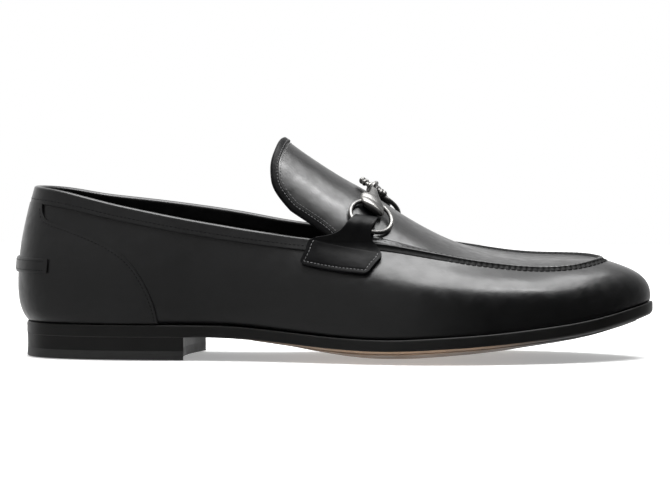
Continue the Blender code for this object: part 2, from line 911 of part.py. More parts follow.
def build_tongue_binding(finish):
    """Narrow strip folded over the tongue's free edge."""
    bm = bmesh.new()
    columns = 32
    lift = OVERLAY_GAP + BINDING_THICK / 2
    inner = WALL + OVERLAY_GAP + lift
    fold = (WALL + 2 * lift) / 2
    section = (
        (TONGUE_BINDING_DEPTH, lift),
        (0.0, lift),
        (-0.85 * fold, lift - 0.4 * fold),
        (-0.85 * fold, 0.4 * fold - inner),
        (0.0, -inner),
        (TONGUE_BINDING_DEPTH, -inner),
    )
    start = 0.07

    def frame(share):
        x, across = tongue_edge(share)
        point = arch_point(x, across)
        ahead = arch_point(*tongue_edge(share + 0.01))
        behind = arch_point(*tongue_edge(share - 0.01))
        run = (ahead - behind).normalized()
        normal = skin_normal(arch_point, x, across, MM, 0.01)
        if normal.z < 0:
            normal = -normal
        inward = normal.cross(run).normalized()
        toward_toe = arch_point(x + 3 * TONGUE_BINDING_DEPTH, across * 0.9) - point
        return point, inward if inward.dot(toward_toe) > 0 else -inward, normal

    def place(column, row):
        point, inward, normal = frame(lerp(start, 1 - start, column / columns))
        depth, out = section[row]
        return point + inward * depth + normal * out

    sheet(bm, columns, len(section) - 1, place)
    weld(bm)
    return thicken(node_from("tongue_binding", bm, finish), BINDING_THICK, 0)


def girth_point(x, up, side, stand):
    """A point by its run over the girth: up is measured on the upper from the topline."""
    if up <= 0:
        low, high = 0.1, math.pi - 0.1
        for _ in range(24):
            half = (low + high) / 2
            level = level_below_topline(side * half, -up)
            if ring_side(side * half, level).x < x:
                low = half
            else:
                high = half
        level = level_below_topline(side * low, -up)
        point = ring_side(side * low, level)
        return point + side_normal(side * low, level) * stand
    steps = 60
    last = arch_point(x, side)
    run, across = 0.0, 1.0
    for i in range(1, steps + 1):
        across = 1 - i / steps
        point = arch_point(x, side * across)
        run += (point - last).length
        if run >= up:
            break
        last = point
    return arch_point(x, side * across) + arch_normal(x, side * across) * stand


def arch_normal(x, across):
    normal = skin_normal(arch_point, x, across, MM, 0.01)
    return normal if normal.z > 0 else -normal


def strap_point(side, run, share, lift):
    """A point of a strap's middle layer; share is -1 at its rear edge and 1 at its front one."""
    centre = BIT_X - STRAP_BACK + STRAP_WIDTH * STRAP_RUN.at("middle", run)
    x = centre + share * STRAP_WIDTH * STRAP_RUN.at("half", run)
    up = (STRAP_RUN.at("up", run) - share * STRAP_RUN.at("drop", run)) * RING_RADIUS
    return girth_point(x, up, side, STRAP_RUN.at("stand", run) * RING_RADIUS + lift)


def build_strap(name, side, finish):
    """Strap from its stitched base on the side, over the ring's wire and back under it."""
    bm = bmesh.new()

    def place(column, row):
        return strap_point(side, row / STRAP_ROWS, 2 * column / STRAP_COLUMNS - 1, 0)

    sheet(bm, STRAP_COLUMNS, STRAP_ROWS, place)
    weld(bm)
    return thicken(node_from(name, bm, finish), STRAP_THICK, 0)


def build_patch(name, side, finish):
    """Patch stitched over the strap's base on three sides, its upper edge free."""
    bm = bmesh.new()
    lift = STRAP_THICK / 2 + GAP + PATCH_THICK / 2

    def place(column, row):
        run = PATCH_RUN * row / PATCH_ROWS
        return strap_point(side, run, 2 * column / STRAP_COLUMNS - 1, lift)

    sheet(bm, STRAP_COLUMNS, PATCH_ROWS, place)
    weld(bm)
    return thicken(node_from(name, bm, finish), PATCH_THICK, 0)


@functools.cache
def ring_frame(side):
    """Centre of a ring with its axes: along the shoe, up the girth and out of the leather."""
    seat = girth_point(BIT_X, RING_UP, side, 0)
    above = girth_point(BIT_X, RING_UP + RING_RADIUS, side, 0)
    below = girth_point(BIT_X, RING_UP - RING_RADIUS, side, 0)
    ahead = girth_point(BIT_X + 0.8 * RING_RADIUS, RING_UP, side, 0)
    behind = girth_point(BIT_X - 0.8 * RING_RADIUS, RING_UP, side, 0)
    up = (above - below).normalized()
    out = (ahead - behind).cross(up)
    out = (out if out.z > 0 else -out).normalized()
    forward = up.cross(out) if up.cross(out).x > 0 else out.cross(up)
    return seat + out * RING_STAND, forward.normalized(), up, out


def torus(bm, frame, long_radius, short_radius, wire, round_steps, wire_steps):
    """A closed ring of wire on an ellipse in the frame's plane of forward and up."""
    centre, forward, up, out = frame

    def place(column, row):
        turn = 2 * math.pi * column / round_steps
        around = 2 * math.pi * row / wire_steps
        radial = forward * math.cos(turn) + up * math.sin(turn)
        core = centre + forward * long_radius * math.cos(turn) + up * short_radius * math.sin(turn)
        return core + radial * wire * math.cos(around) + out * wire * math.sin(around)

    verts = sheet(bm, round_steps, wire_steps, place)
    bmesh.ops.remove_doubles(bm, verts=verts, dist=0.01 * MM)


def build_ring(name, side, finish):
    bm = bmesh.new()
    torus(bm, ring_frame(side), RING_RADIUS, RING_RADIUS, WIRE_RADIUS, RING_STEPS, WIRE_STEPS)
    bmesh.ops.recalc_face_normals(bm, faces=bm.faces)
    return node_from(name, bm, finish, 60)


@functools.cache
def link_frame():
    """Centre of the joining link over the ridge, with its axes."""
    seat = arch_point(BIT_X, 0)
    run = arch_point(BIT_X + 4 * MM, 0) - arch_point(BIT_X - 4 * MM, 0)
    forward = run.normalized()
    up = Vector((0, 1, 0))
    out = forward.cross(up).normalized()
    return seat + out * LINK_STAND, forward, up, out


def build_link(finish):
    bm = bmesh.new()
    half_wire = 0.9 * WIRE_RADIUS
    torus(bm, link_frame(), LINK_LENGTH / 2, LINK_WIDTH / 2, half_wire, 20, WIRE_STEPS)
    bmesh.ops.recalc_face_normals(bm, faces=bm.faces)
    return node_from("bit_link", bm, finish, 60)


def cutter(name, bm):
    """A helper that a Boolean takes away, left out of the shoe."""
    bmesh.ops.recalc_face_normals(bm, faces=bm.faces)
    mesh = bpy.data.meshes.new(name)
    bm.to_mesh(mesh)
    bm.free()
    obj = bpy.data.objects.new(name, mesh)
    bpy.context.scene.collection.objects.link(obj)
    obj.hide_render = True
    obj.display_type = "WIRE"
    return obj


def build_bar(name, side, finish):
    """Half of the mouthpiece: a boss that the ring runs through, a neck and an eye on the link."""
    centre, forward, up, out = ring_frame(side)
    link_centre, link_forward, link_up, link_out = link_frame()
    start = centre + up * (RING_RADIUS - BOSS_IN)
    eye = link_centre + link_up * side * LINK_WIDTH / 2
    eye_radius = 2.0 * WIRE_RADIUS
    eye_wire = 0.8 * WIRE_RADIUS
    reach = 1 - eye_radius / (eye - start).length
    # Sections from the boss to the eye: share of the way, half length along the shoe, half height.
    sections = (
        (-0.30, 0.32 * BOSS_LENGTH, 0.45 * BOSS_RADIUS),
        (-0.23, 0.44 * BOSS_LENGTH, 0.82 * BOSS_RADIUS),
        (-0.07, 0.50 * BOSS_LENGTH, 1.00 * BOSS_RADIUS),
        (0.11, 0.49 * BOSS_LENGTH, 0.98 * BOSS_RADIUS),
        (0.26, 0.38 * BOSS_LENGTH, 0.85 * BOSS_RADIUS),
        (0.45, 1.70 * BAR_RADIUS, 1.15 * BAR_RADIUS),
        (0.67, 1.10 * BAR_RADIUS, 0.95 * BAR_RADIUS),
        (0.86, 0.90 * BAR_RADIUS, 0.80 * BAR_RADIUS),
        (1.00, 0.75 * BAR_RADIUS, 0.60 * BAR_RADIUS),
    )
    around_steps = 10
    bm = bmesh.new()

    def place(column, row):
        share, long_half, high_half = sections[row]
        share = share * reach
        core = start.lerp(eye, share)
        core = core + out.lerp(link_out, share) * (BAR_RISE * math.sin(math.pi * max(share, 0)))
        turn = 2 * math.pi * column / around_steps
        wide = forward.lerp(link_forward, max(share, 0)).normalized()
        high = out.lerp(link_out, max(share, 0)).normalized()
        return core + wide * long_half * math.cos(turn) + high * high_half * math.sin(turn)

    sheet(bm, around_steps, len(sections) - 1, place)
    bmesh.ops.remove_doubles(bm, verts=bm.verts, dist=0.01 * MM)
    bmesh.ops.holes_fill(bm, edges=[e for e in bm.edges if e.is_boundary], sides=0)
    bmesh.ops.recalc_face_normals(bm, faces=bm.faces)
    bar = node_from(name, bm, finish, 60)

    eye_bm = bmesh.new()
    eye_frame = (eye, link_up, link_out, link_forward)
    torus(eye_bm, eye_frame, eye_radius, eye_radius, eye_wire, 14, WIRE_STEPS)
    eye_ring = cutter(name + "_eye", eye_bm)
    join = bar.modifiers.new("eye", "BOOLEAN")
    join.operation = "UNION"
    join.object = eye_ring

    bore_bm = bmesh.new()
    bore_radius = WIRE_RADIUS + GAP
    torus(bore_bm, ring_frame(side), RING_RADIUS, RING_RADIUS, bore_radius, RING_STEPS, WIRE_STEPS)
    bore = cutter(name + "_bore", bore_bm)
    cut = bar.modifiers.new("bore", "BOOLEAN")
    cut.operation = "DIFFERENCE"
    cut.object = bore
    return bar


def main():
    fresh_scene()
    calf = material("black_calf", (0.018, 0.018, 0.019), 0.32)
    sole_leather = material("sole_leather", (0.022, 0.021, 0.020), 0.45)
    heel_leather = material("heel_leather", (0.020, 0.020, 0.020), 0.45)
    rubber = material("heel_rubber", (0.022, 0.022, 0.022), 0.6)
    lining = material("lining", (0.012, 0.012, 0.012), 0.6)
    silver = material("aged_silver", (0.62, 0.60, 0.56), 0.28, 1.0)
    build_outsole(sole_leather)
    build_heel(heel_leather, rubber)
    build_insole(lining)
    build_upper(calf)
    build_counter(calf)
    build_heel_tab(calf)
    build_collar_binding(calf)
    build_tongue_binding(calf)
    build_link(silver)
    for label, side in (("lateral", LATERAL), ("medial", MEDIAL)):
        build_strap("strap_" + label, side, calf)
        build_patch("strap_patch_" + label, side, calf)
        build_ring("ring_" + label, side, silver)
        build_bar("bit_bar_" + label, side, silver)


main()
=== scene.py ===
"""Bit loafer for the right foot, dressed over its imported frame.

The toe points along +X, the outer side of the foot is -Y and the floor is Z = 0. The shoe is a
last with a skin: a point of its side is found by an angle round the last and a level up the
side, and a point of apron or tongue by its place along the shoe and across its arch. Every
panel, seam, stitch and strap is laid on that skin.
"""

import functools
import logging
import math
from dataclasses import dataclass, field
from enum import Enum, IntEnum
from typing import Callable

import bmesh
import bpy
import numpy as np
from mathutils import Matrix, Vector


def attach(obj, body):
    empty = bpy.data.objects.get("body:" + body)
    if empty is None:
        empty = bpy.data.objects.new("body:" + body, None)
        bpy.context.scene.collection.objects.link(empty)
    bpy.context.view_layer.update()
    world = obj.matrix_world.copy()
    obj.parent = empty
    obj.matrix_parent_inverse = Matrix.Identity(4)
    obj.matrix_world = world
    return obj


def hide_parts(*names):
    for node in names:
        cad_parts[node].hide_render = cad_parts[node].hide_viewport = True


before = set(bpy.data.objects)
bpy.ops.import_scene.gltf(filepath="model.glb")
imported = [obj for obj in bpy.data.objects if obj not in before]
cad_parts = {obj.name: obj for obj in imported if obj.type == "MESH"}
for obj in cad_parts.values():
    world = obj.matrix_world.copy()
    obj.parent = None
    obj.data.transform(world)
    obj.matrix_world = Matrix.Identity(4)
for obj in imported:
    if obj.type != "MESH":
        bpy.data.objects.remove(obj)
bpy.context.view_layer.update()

MM = 0.001
LOG = logging.getLogger("bit_loafer")

Colour = tuple[float, float, float]
Place = Callable[[int, int], Vector]
Mesh = bmesh.types.BMesh
Socket = bpy.types.NodeSocket
Material = bpy.types.Material


class Side(IntEnum):
    """The two sides of the shoe, by the sign of Y."""

    OUTER = -1
    INNER = 1


class Layer(Enum):
    """The side of a sheet that its thickness grows to."""

    INWARD = -1.0
    MIDDLE = 0.0
    OUTWARD = 1.0


class Curve:
    """Named columns of numbers, read on a natural cubic through their rows."""

    def __init__(self, columns: str, *rows: tuple[float, ...]) -> None:
        """Keeps the rows and works out how each column bends.

        Args:
            columns: Names of the columns, the first one being the place.
            rows: One tuple of numbers for each place.
        """
        self.names = columns.split()
        self.rows = np.array(rows, float)
        self.bends = [self._bend(self.rows[:, 0], column) for column in self.rows.T]

    @staticmethod
    def _bend(places: np.ndarray, values: np.ndarray) -> np.ndarray:
        """Second slopes of a natural cubic.

        Args:
            places: Where the values stand.
            values: The values themselves.

        Returns:
            One second slope for each place.
        """
        steps = np.diff(places)
        matrix = np.eye(len(places))
        known = np.zeros(len(places))
        for i in range(1, len(places) - 1):
            matrix[i, i - 1 : i + 2] = steps[i - 1], 2 * (steps[i - 1] + steps[i]), steps[i]
            known[i] = 6 * (
                (values[i + 1] - values[i]) / steps[i] - (values[i] - values[i - 1]) / steps[i - 1]
            )
        return np.linalg.solve(matrix, known)

    def at(self, name: str, place: float) -> float:
        """Reads a column.

        Args:
            name: Name of the column.
            place: Where to read it, held within the rows.

        Returns:
            The value there.
        """
        column = self.names.index(name)
        places, values, bends = self.rows[:, 0], self.rows[:, column], self.bends[column]
        place = min(max(place, places[0]), places[-1])
        i = int(min(max(np.searchsorted(places, place) - 1, 0), len(places) - 2))
        step = places[i + 1] - places[i]
        a = (places[i + 1] - place) / step
        b = 1 - a
        curve = (a**3 - a) * bends[i] + (b**3 - b) * bends[i + 1]
        return float(a * values[i] + b * values[i + 1] + curve * step**2 / 6)


def lerp(a: float, b: float, share: float) -> float:
    """The number at a share of the way from a to b."""
    return a + (b - a) * share


def ease(share: float) -> float:
    """A share held from 0 to 1 with soft ends."""
    share = min(max(share, 0.0), 1.0)
    return share * share * (3 - 2 * share)


def halved(low: float, high: float, times: int, holds: Callable[[float], bool]) -> float:
    """Closes in on the place where something stops being true.

    Args:
        low: A place where it is true.
        high: A place where it isn't.
        times: How often the way between them is halved.
        holds: Tells if it is true at a place.

    Returns:
        The last place where it was true.
    """
    for _ in range(times):
        half = (low + high) / 2
        low, high = (half, high) if holds(half) else (low, half)
    return low


def walked(line: Callable[[float], Vector], length: float, steps: int) -> float:
    """Share of a line that is behind when a length of it has been walked.

    Args:
        line: The line's point at a share.
        length: The length that is walked.
        steps: Straight steps that the line is measured in.

    Returns:
        The share, 1 where the line is too short.
    """
    last, run = line(0.0), 0.0
    for i in range(1, steps + 1):
        point = line(i / steps)
        step = (point - last).length
        if run + step >= length:
            return (i - 1 + (length - run) / step) / steps
        run += step
        last = point
    return 1.0


@dataclass(frozen=True)
class LastSizes:
    """Sizes of the last and the sole, in metres, as the frame has them."""

    sole_length: float = 295 * MM
    ball_width: float = 100 * MM
    sole_edge: float = 5.8 * MM
    heel_length: float = 78 * MM
    heel_height: float = 10.6 * MM
    top_piece: float = 4.2 * MM
    tread_lift: float = 5.4 * MM
    tread_belly: float = 6.3 * MM
    toe_spring: float = 21 * MM
    toe_swing: float = 5.5 * MM
    heel_round: float = 27 * MM
    toe_round: float = 16 * MM
    wall: float = 1.8 * MM
    feather_inset: float = 2.2 * MM
    lasting_margin: float = 5.5 * MM
    quarter_height: float = 64.5 * MM
    tongue_height: float = 89 * MM
    topline_start: float = 4.4 * MM
    topline_length: float = 266 * MM
    topline_back_round: float = 20 * MM
    apron_toe_round: float = 16 * MM
    bulge: float = 5 * MM
    bulge_height: float = 17 * MM
    counter_reach: float = 66 * MM
    strap_width: float = 33.5 * MM
    strap_back: float = 10.4 * MM
    ring_radius: float = 10 * MM
    bit_place: float = 125.4 * MM
    gap: float = 0.3 * MM
    overlay_gap: float = 0.45 * MM

    @property
    def back(self) -> float:
        """Place of the sole's back end."""
        return -self.heel_length / 2


SEAT_END = 0.28
TONGUE_CORNER = 0.79
TONGUE_SIDE_BEND = 0.5
DEEP = Vector((0, 0, -9))
JUNCTION_TURN = math.pi * 21 / 40

# Height of the sole's lower edge: shares of the heel's rise and of the toe's rise above the tread.
SOLE_LINE = Curve(
    "along heel toe",
    (0.28, 1.00, 0.00),
    (0.31, 0.985, 0.00),
    (0.35, 0.90, 0.00),
    (0.41, 0.62, 0.00),
    (0.46, 0.35, 0.00),
    (0.51, 0.12, 0.00),
    (0.56, 0.01, 0.00),
    (0.61, 0.00, 0.01),
    (0.66, 0.00, 0.06),
    (0.74, 0.00, 0.16),
    (0.79, 0.00, 0.25),
    (0.84, 0.00, 0.36),
    (0.89, 0.00, 0.49),
    (0.94, 0.00, 0.69),
    (1.00, 0.00, 1.00),
)

# How far the middle of the sole hangs below its edges, and the toe's swing to the inner side.
SOLE_FORM = Curve(
    "along belly swing",
    (0.28, 0.00, 0.00),
    (0.36, 0.18, 0.06),
    (0.46, 0.62, 0.20),
    (0.56, 0.97, 0.37),
    (0.63, 1.00, 0.52),
    (0.72, 0.90, 0.68),
    (0.82, 0.68, 0.84),
    (0.92, 0.44, 0.95),
    (0.97, 0.20, 0.99),
    (1.00, 0.00, 1.00),
)

# Half widths of the sole from its middle line, as shares of the ball's width.
SOLE_PLAN = Curve(
    "along outer inner",
    (0.034, 0.210, 0.210),
    (0.068, 0.265, 0.265),
    (0.118, 0.305, 0.300),
    (0.169, 0.320, 0.310),
    (0.253, 0.320, 0.300),
    (0.304, 0.318, 0.285),
    (0.355, 0.330, 0.273),
    (0.405, 0.357, 0.278),
    (0.456, 0.396, 0.304),
    (0.507, 0.440, 0.350),
    (0.557, 0.485, 0.400),
    (0.608, 0.515, 0.440),
    (0.659, 0.525, 0.464),
    (0.709, 0.516, 0.469),
    (0.760, 0.491, 0.454),
    (0.811, 0.451, 0.419),
    (0.861, 0.395, 0.365),
    (0.912, 0.312, 0.288),
    (0.946, 0.240, 0.221),
    (0.973, 0.163, 0.155),
)

# Half widths of the line where the side ends: collar behind, apron seam in front.
TOPLINE_PLAN = Curve(
    "along outer inner",
    (0.052, 0.195, 0.195),
    (0.109, 0.250, 0.250),
    (0.164, 0.275, 0.275),
    (0.220, 0.290, 0.290),
    (0.275, 0.300, 0.300),
    (0.330, 0.305, 0.304),
    (0.385, 0.316, 0.308),
    (0.440, 0.329, 0.313),
    (0.495, 0.344, 0.318),
    (0.550, 0.353, 0.318),
    (0.610, 0.350, 0.312),
    (0.690, 0.328, 0.300),
    (0.775, 0.300, 0.283),
    (0.830, 0.278, 0.265),
    (0.890, 0.243, 0.237),
    (0.945, 0.190, 0.188),
    (0.980, 0.120, 0.120),
)

# The same line's height over the sole's upper edge, and the slope of the side at that line.
TOPLINE_HEIGHT = Curve(
    "along outer inner slope",
    (0.000, 0.968, 0.968, 75),
    (0.050, 0.946, 0.944, 77),
    (0.105, 0.898, 0.902, 79),
    (0.160, 0.846, 0.873, 79),
    (0.215, 0.800, 0.847, 79),
    (0.270, 0.757, 0.818, 79),
    (0.325, 0.719, 0.787, 79),
    (0.380, 0.692, 0.758, 77),
    (0.430, 0.680, 0.737, 74),
    (0.485, 0.673, 0.727, 69),
    (0.545, 0.672, 0.722, 62),
    (0.610, 0.668, 0.706, 53),
    (0.690, 0.606, 0.646, 42),
    (0.780, 0.514, 0.570, 33),
    (0.835, 0.464, 0.521, 29),
    (0.890, 0.420, 0.483, 25),
    (0.945, 0.397, 0.455, 21),
    (0.980, 0.397, 0.428, 19),
    (1.000, 0.402, 0.402, 17),
)

# How far the side stands out over the sole's edge, how high, and how full it is above.
SIDE_FORM = Curve(
    "along outer inner height fullness",
    (0.00, 0.62, 0.62, 1.00, 0.34),
    (0.06, 0.52, 0.52, 1.00, 0.34),
    (0.14, 0.44, 0.44, 1.00, 0.34),
    (0.25, 0.52, 0.62, 0.97, 0.36),
    (0.35, 0.62, 1.00, 0.93, 0.38),
    (0.45, 0.46, 0.86, 0.84, 0.42),
    (0.55, 0.20, 0.40, 0.74, 0.48),
    (0.65, 0.04, 0.08, 0.66, 0.54),
    (0.75, -0.08, -0.06, 0.58, 0.58),
    (0.85, -0.14, -0.14, 0.46, 0.60),
    (0.94, -0.20, -0.20, 0.28, 0.62),
    (1.00, -0.22, -0.22, 0.17, 0.64),
)

# Height of the ridge of tongue and apron over the sole's upper edge, and how round the arch is.
RIDGE = Curve(
    "along height arch",
    (0.380, 1.045, 80),
    (0.408, 1.000, 80),
    (0.436, 0.942, 79),
    (0.474, 0.868, 76),
    (0.512, 0.800, 71),
    (0.538, 0.757, 65),
    (0.588, 0.652, 54),
    (0.626, 0.571, 46),
    (0.664, 0.497, 38),
    (0.690, 0.454, 34),
    (0.714, 0.421, 30),
    (0.765, 0.371, 25),
    (0.816, 0.338, 20),
    (0.866, 0.318, 16),
    (0.918, 0.291, 14),
)

# The tongue's upper edge, from the ridge out to its corner, as shares of the sole's length.
TONGUE_TIP = Curve(
    "across along",
    (0.00, 0.4150),
    (0.20, 0.4115),
    (0.37, 0.4070),
    (0.50, 0.4035),
    (0.60, 0.4045),
    (0.68, 0.4100),
    (0.79, 0.4360),
)

# Forward edge of the heel counter: reach along the shoe at each height under the binding.
COUNTER_LINE = Curve(
    "height reach",
    (0.00, 1.000),
    (0.12, 0.985),
    (0.24, 0.950),
    (0.40, 0.880),
    (0.56, 0.765),
    (0.67, 0.620),
    (0.76, 0.440),
    (0.82, 0.290),
    (0.86, 0.195),
    (0.90, 0.165),
    (1.00, 0.155),
)

# A strap's run over the girth, as shares of the ring's radius: up from the topline, drop of its
# front corner and stand off; middle along the shoe and half width are shares of its width.
STRAP_RUN = Curve(
    "run up drop middle half stand",
    (0.00, -1.60, 0.28, -0.150, 0.475, 0.08),
    (0.10, -1.20, 0.30, -0.100, 0.485, 0.08),
    (0.20, -0.78, 0.33, -0.045, 0.495, 0.08),
    (0.29, -0.38, 0.34, 0.000, 0.500, 0.09),
    (0.36, -0.06, 0.24, 0.030, 0.420, 0.15),
    (0.42, 0.18, 0.11, 0.070, 0.290, 0.28),
    (0.48, 0.42, 0.04, 0.120, 0.205, 0.45),
    (0.55, 0.70, 0.00, 0.160, 0.180, 0.56),
    (0.62, 0.96, 0.00, 0.200, 0.165, 0.53),
    (0.69, 1.20, 0.00, 0.232, 0.150, 0.41),
    (0.75, 1.32, 0.00, 0.242, 0.143, 0.26),
    (0.81, 1.25, 0.00, 0.242, 0.143, 0.11),
    (0.87, 1.04, 0.00, 0.240, 0.140, 0.08),
    (0.94, 0.76, 0.00, 0.235, 0.140, 0.08),
    (1.00, 0.50, 0.00, 0.235, 0.140, 0.08),
)


class Outline:
    """A closed line seen from above, rounded at both ends, read by an angle from its back."""

    def __init__(self, last: "Last", table: Curve, start: float, length: float,
                 rounds: tuple[float, float]) -> None:
        """Turns a table of half widths into one that is smooth round both ends.

        Args:
            last: The last whose middle line the outline follows.
            table: Half widths at shares of the length.
            start: Place of the back end.
            length: Length of the outline.
            rounds: Radii of the back end and the front end.
        """
        self.last = last
        self.start = start
        self.length = length
        ends = [math.sqrt(radius * length / 2) for radius in rounds]
        rows = [(0.0, ends[0], ends[0])]
        for share, outer, inner in table.rows:
            turn = math.acos(1 - 2 * share)
            scale = last.sizes.ball_width / math.sin(turn)
            rows.append((turn, outer * scale, inner * scale))
        rows.append((math.pi, ends[1], ends[1]))
        self.widths = Curve("turn outer inner", *rows)

    def turn_at(self, x: float) -> float:
        """The angle at a place along the shoe."""
        return math.acos(1 - 2 * min(max((x - self.start) / self.length, 0.0), 1.0))

    def x_at(self, turn: float) -> float:
        """The place along the shoe at an angle."""
        return self.start + self.length * (1 - math.cos(turn)) / 2

    def half_width(self, turn: float, side: int) -> float:
        """Half the width at an angle, on one side."""
        return self.widths.at("outer" if side < 0 else "inner", turn) * math.sin(turn)

    def point(self, turn: float, side: int) -> Vector:
        """The outline at an angle, on one side."""
        x = self.x_at(turn)
        return Vector((x, self.last.middle(x) + side * self.half_width(turn, side), 0))

    def ring_point(self, ring_turn: float) -> Vector:
        """The outline by one angle that is below zero on the outer side.

        Args:
            ring_turn: The angle from the back, which may run past the toe.

        Returns:
            The point of the outline.
        """
        side = -1 if ring_turn < 0 else 1
        turn = abs(ring_turn)
        if turn > math.pi:
            turn, side = 2 * math.pi - turn, -side
        return self.point(turn, side)

    def outward(self, turn: float, side: int) -> Vector:
        """The level direction that leaves the outline at a right angle.

        Args:
            turn: Angle from the back.
            side: Side of the shoe.

        Returns:
            A unit vector.
        """
        step = 0.004
        run = self.ring_point(side * turn + step) - self.ring_point(side * turn - step)
        return Vector((-run.y, run.x, 0)).normalized()

    def offset(self, turn: float, side: int, out: float) -> Vector:
        """The outline moved out at a right angle to itself."""
        return self.point(turn, side) + self.outward(turn, side) * out

    def rim(self, turn: float, side: int, inset: float) -> Vector:
        """The outline brought in, its two ends kept on the middle line.

        Args:
            turn: Angle from the back.
            side: Side of the shoe.
            inset: How far in.

        Returns:
            The point, at height 0.
        """
        place = self.offset(turn, side, -inset)
        if math.sin(turn) < 1e-6:
            place.y = self.last.middle(place.x)
        return place


@dataclass(frozen=True)
class Crease:
    """A soft trough, or a ridge where its depth is below zero, along a line on one side."""

    start: tuple[float, float]
    end: tuple[float, float]
    width: float
    depth: float
    side: Side = Side.OUTER

    def sink(self, point: Vector) -> float:
        """How far the crease sinks the skin at a point.

        Args:
            point: A point of the skin.

        Returns:
            The depth there.
        """
        if (point.y < 0) != (self.side < 0):
            return 0.0
        ax, az = self.start
        bx, bz = self.end
        run = Vector((bx - ax, bz - az))
        here = Vector((point.x - ax, point.z - az))
        share = min(max(here.dot(run) / run.length_squared, 0.0), 1.0)
        away = (here - run * share).length / self.width
        return self.depth * math.exp(-away * away) * math.sin(math.pi * (0.12 + 0.76 * share))


class Last:
    """The shoe's skin as a function, with the sole that it stands on."""

    def __init__(self, sizes: LastSizes, creases: tuple[Crease, ...]) -> None:
        """Sets up the outlines.

        Args:
            sizes: Sizes of last and sole.
            creases: Troughs and ridges that wear has left in the skin.
        """
        self.sizes = sizes
        self.creases = creases
        self.sole = Outline(
            self, SOLE_PLAN, sizes.back, sizes.sole_length, (sizes.heel_round, sizes.toe_round)
        )
        self.top = Outline(
            self,
            TOPLINE_PLAN,
            sizes.back + sizes.topline_start,
            sizes.topline_length,
            (sizes.topline_back_round, sizes.apron_toe_round),
        )
        for name in ("topline", "feather", "bulge", "side_curve", "side_normal", "level_below",
                     "counter_turn", "strap_seat"):
            setattr(self, name, functools.cache(getattr(self, name)))

    def along(self, x: float) -> float:
        """Share of the sole's length at a place along the shoe."""
        return (x - self.sizes.back) / self.sizes.sole_length

    def sole_edge(self, x: float) -> float:
        """Height of the sole's lower edge, level over the heel.

        Args:
            x: Place along the shoe.

        Returns:
            The height.
        """
        s, along = self.sizes, self.along(x)
        if along < SEAT_END:
            return s.heel_height
        heel = (s.heel_height - s.tread_lift) * SOLE_LINE.at("heel", along)
        return s.tread_lift + heel + (s.toe_spring - s.tread_lift) * SOLE_LINE.at("toe", along)

    def belly(self, x: float) -> float:
        """How far the middle of the sole hangs below its edges."""
        along = self.along(x)
        return 0.0 if along < SEAT_END else self.sizes.tread_belly * SOLE_FORM.at("belly", along)

    def middle(self, x: float) -> float:
        """Where the shoe's middle line runs."""
        along = self.along(x)
        return 0.0 if along < SEAT_END else self.sizes.toe_swing * SOLE_FORM.at("swing", along)

    def sole_under(self, x: float, across: float) -> float:
        """Height of the sole's underside, across being -1 and 1 at its edges."""
        return max(0.0, self.sole_edge(x) - self.belly(x) * (1 - across * across))

    def sole_over(self, x: float, across: float) -> float:
        """Height of the sole's upper face."""
        return self.sole_edge(x) + self.sizes.sole_edge - self.belly(x) * (1 - across * across)

    def on_sole(self, point: Vector, lift: float) -> Vector:
        """Drops a point on the sole's upper face.

        Args:
            point: The point seen from above.
            lift: How far above the face it is held.

        Returns:
            The point in its place.
        """
        line = self.middle(point.x)
        half = self.sole.half_width(self.sole.turn_at(point.x), -1 if point.y < line else 1)
        across = min(max((point.y - line) / max(half, MM), -1.0), 1.0)
        return Vector((point.x, point.y, self.sole_over(point.x, across) + lift))

    def topline(self, turn: float, side: int) -> Vector:
        """The upper end of the side: the collar's edge behind, the apron seam in front.

        Args:
            turn: Angle from the back.
            side: Side of the shoe.

        Returns:
            The point.
        """
        place = self.top.point(turn, side)
        share = (1 - math.cos(turn)) / 2
        rise = TOPLINE_HEIGHT.at("outer" if side < 0 else "inner", share)
        place.z = self.sole_edge(place.x) + self.sizes.sole_edge + rise * self.sizes.quarter_height
        return place

    def feather(self, turn: float, side: int) -> Vector:
        """Where the skin meets the sole."""
        return self.on_sole(self.sole.offset(turn, side, -self.sizes.feather_inset), self.sizes.gap)

    def bulge(self, turn: float, side: int) -> Vector:
        """The widest point of the side.

        Args:
            turn: Angle from the back.
            side: Side of the shoe.

        Returns:
            The point.
        """
        share = (1 - math.cos(turn)) / 2
        out = self.sizes.bulge * SIDE_FORM.at("outer" if side < 0 else "inner", share)
        place = self.sole.offset(turn, side, out)
        rise = self.sizes.bulge_height * SIDE_FORM.at("height", share)
        place.z = self.feather(turn, side).z + rise
        return place

    def side_curve(self, turn: float, side: int) -> tuple[Vector, Vector, Vector, Vector]:
        """The four points of the curve from the widest point up to the topline.

        Args:
            turn: Angle from the back.
            side: Side of the shoe.

        Returns:
            The four points.
        """
        share = (1 - math.cos(turn)) / 2
        low, high = self.bulge(turn, side), self.topline(turn, side)
        slope = math.radians(TOPLINE_HEIGHT.at("slope", share))
        fullness = SIDE_FORM.at("fullness", share)
        out = self.top.outward(turn, side) * math.cos(slope) - Vector((0, 0, math.sin(slope)))
        reach = 0.42 * (high - low).length
        return low, low + Vector((0, 0, fullness * (high.z - low.z))), high + out * reach, high

    def side_point(self, turn: float, side: int, level: float) -> Vector:
        """A point of the side: level 0 is the feather edge, 1 the widest point, 2 the topline.

        Args:
            turn: Angle from the back.
            side: Side of the shoe.
            level: Level up the side.

        Returns:
            The point.
        """
        if level >= 1:
            a, b, c, d = self.side_curve(turn, side)
            t = level - 1
            s = 1 - t
            return a * s**3 + b * (3 * s * s * t) + c * (3 * s * t * t) + d * t**3
        low, high = self.feather(turn, side), self.bulge(turn, side)
        knee = Vector((high.x, high.y, lerp(low.z, high.z, 0.25)))
        s = 1 - level
        return low * s * s + knee * (2 * s * level) + high * level * level

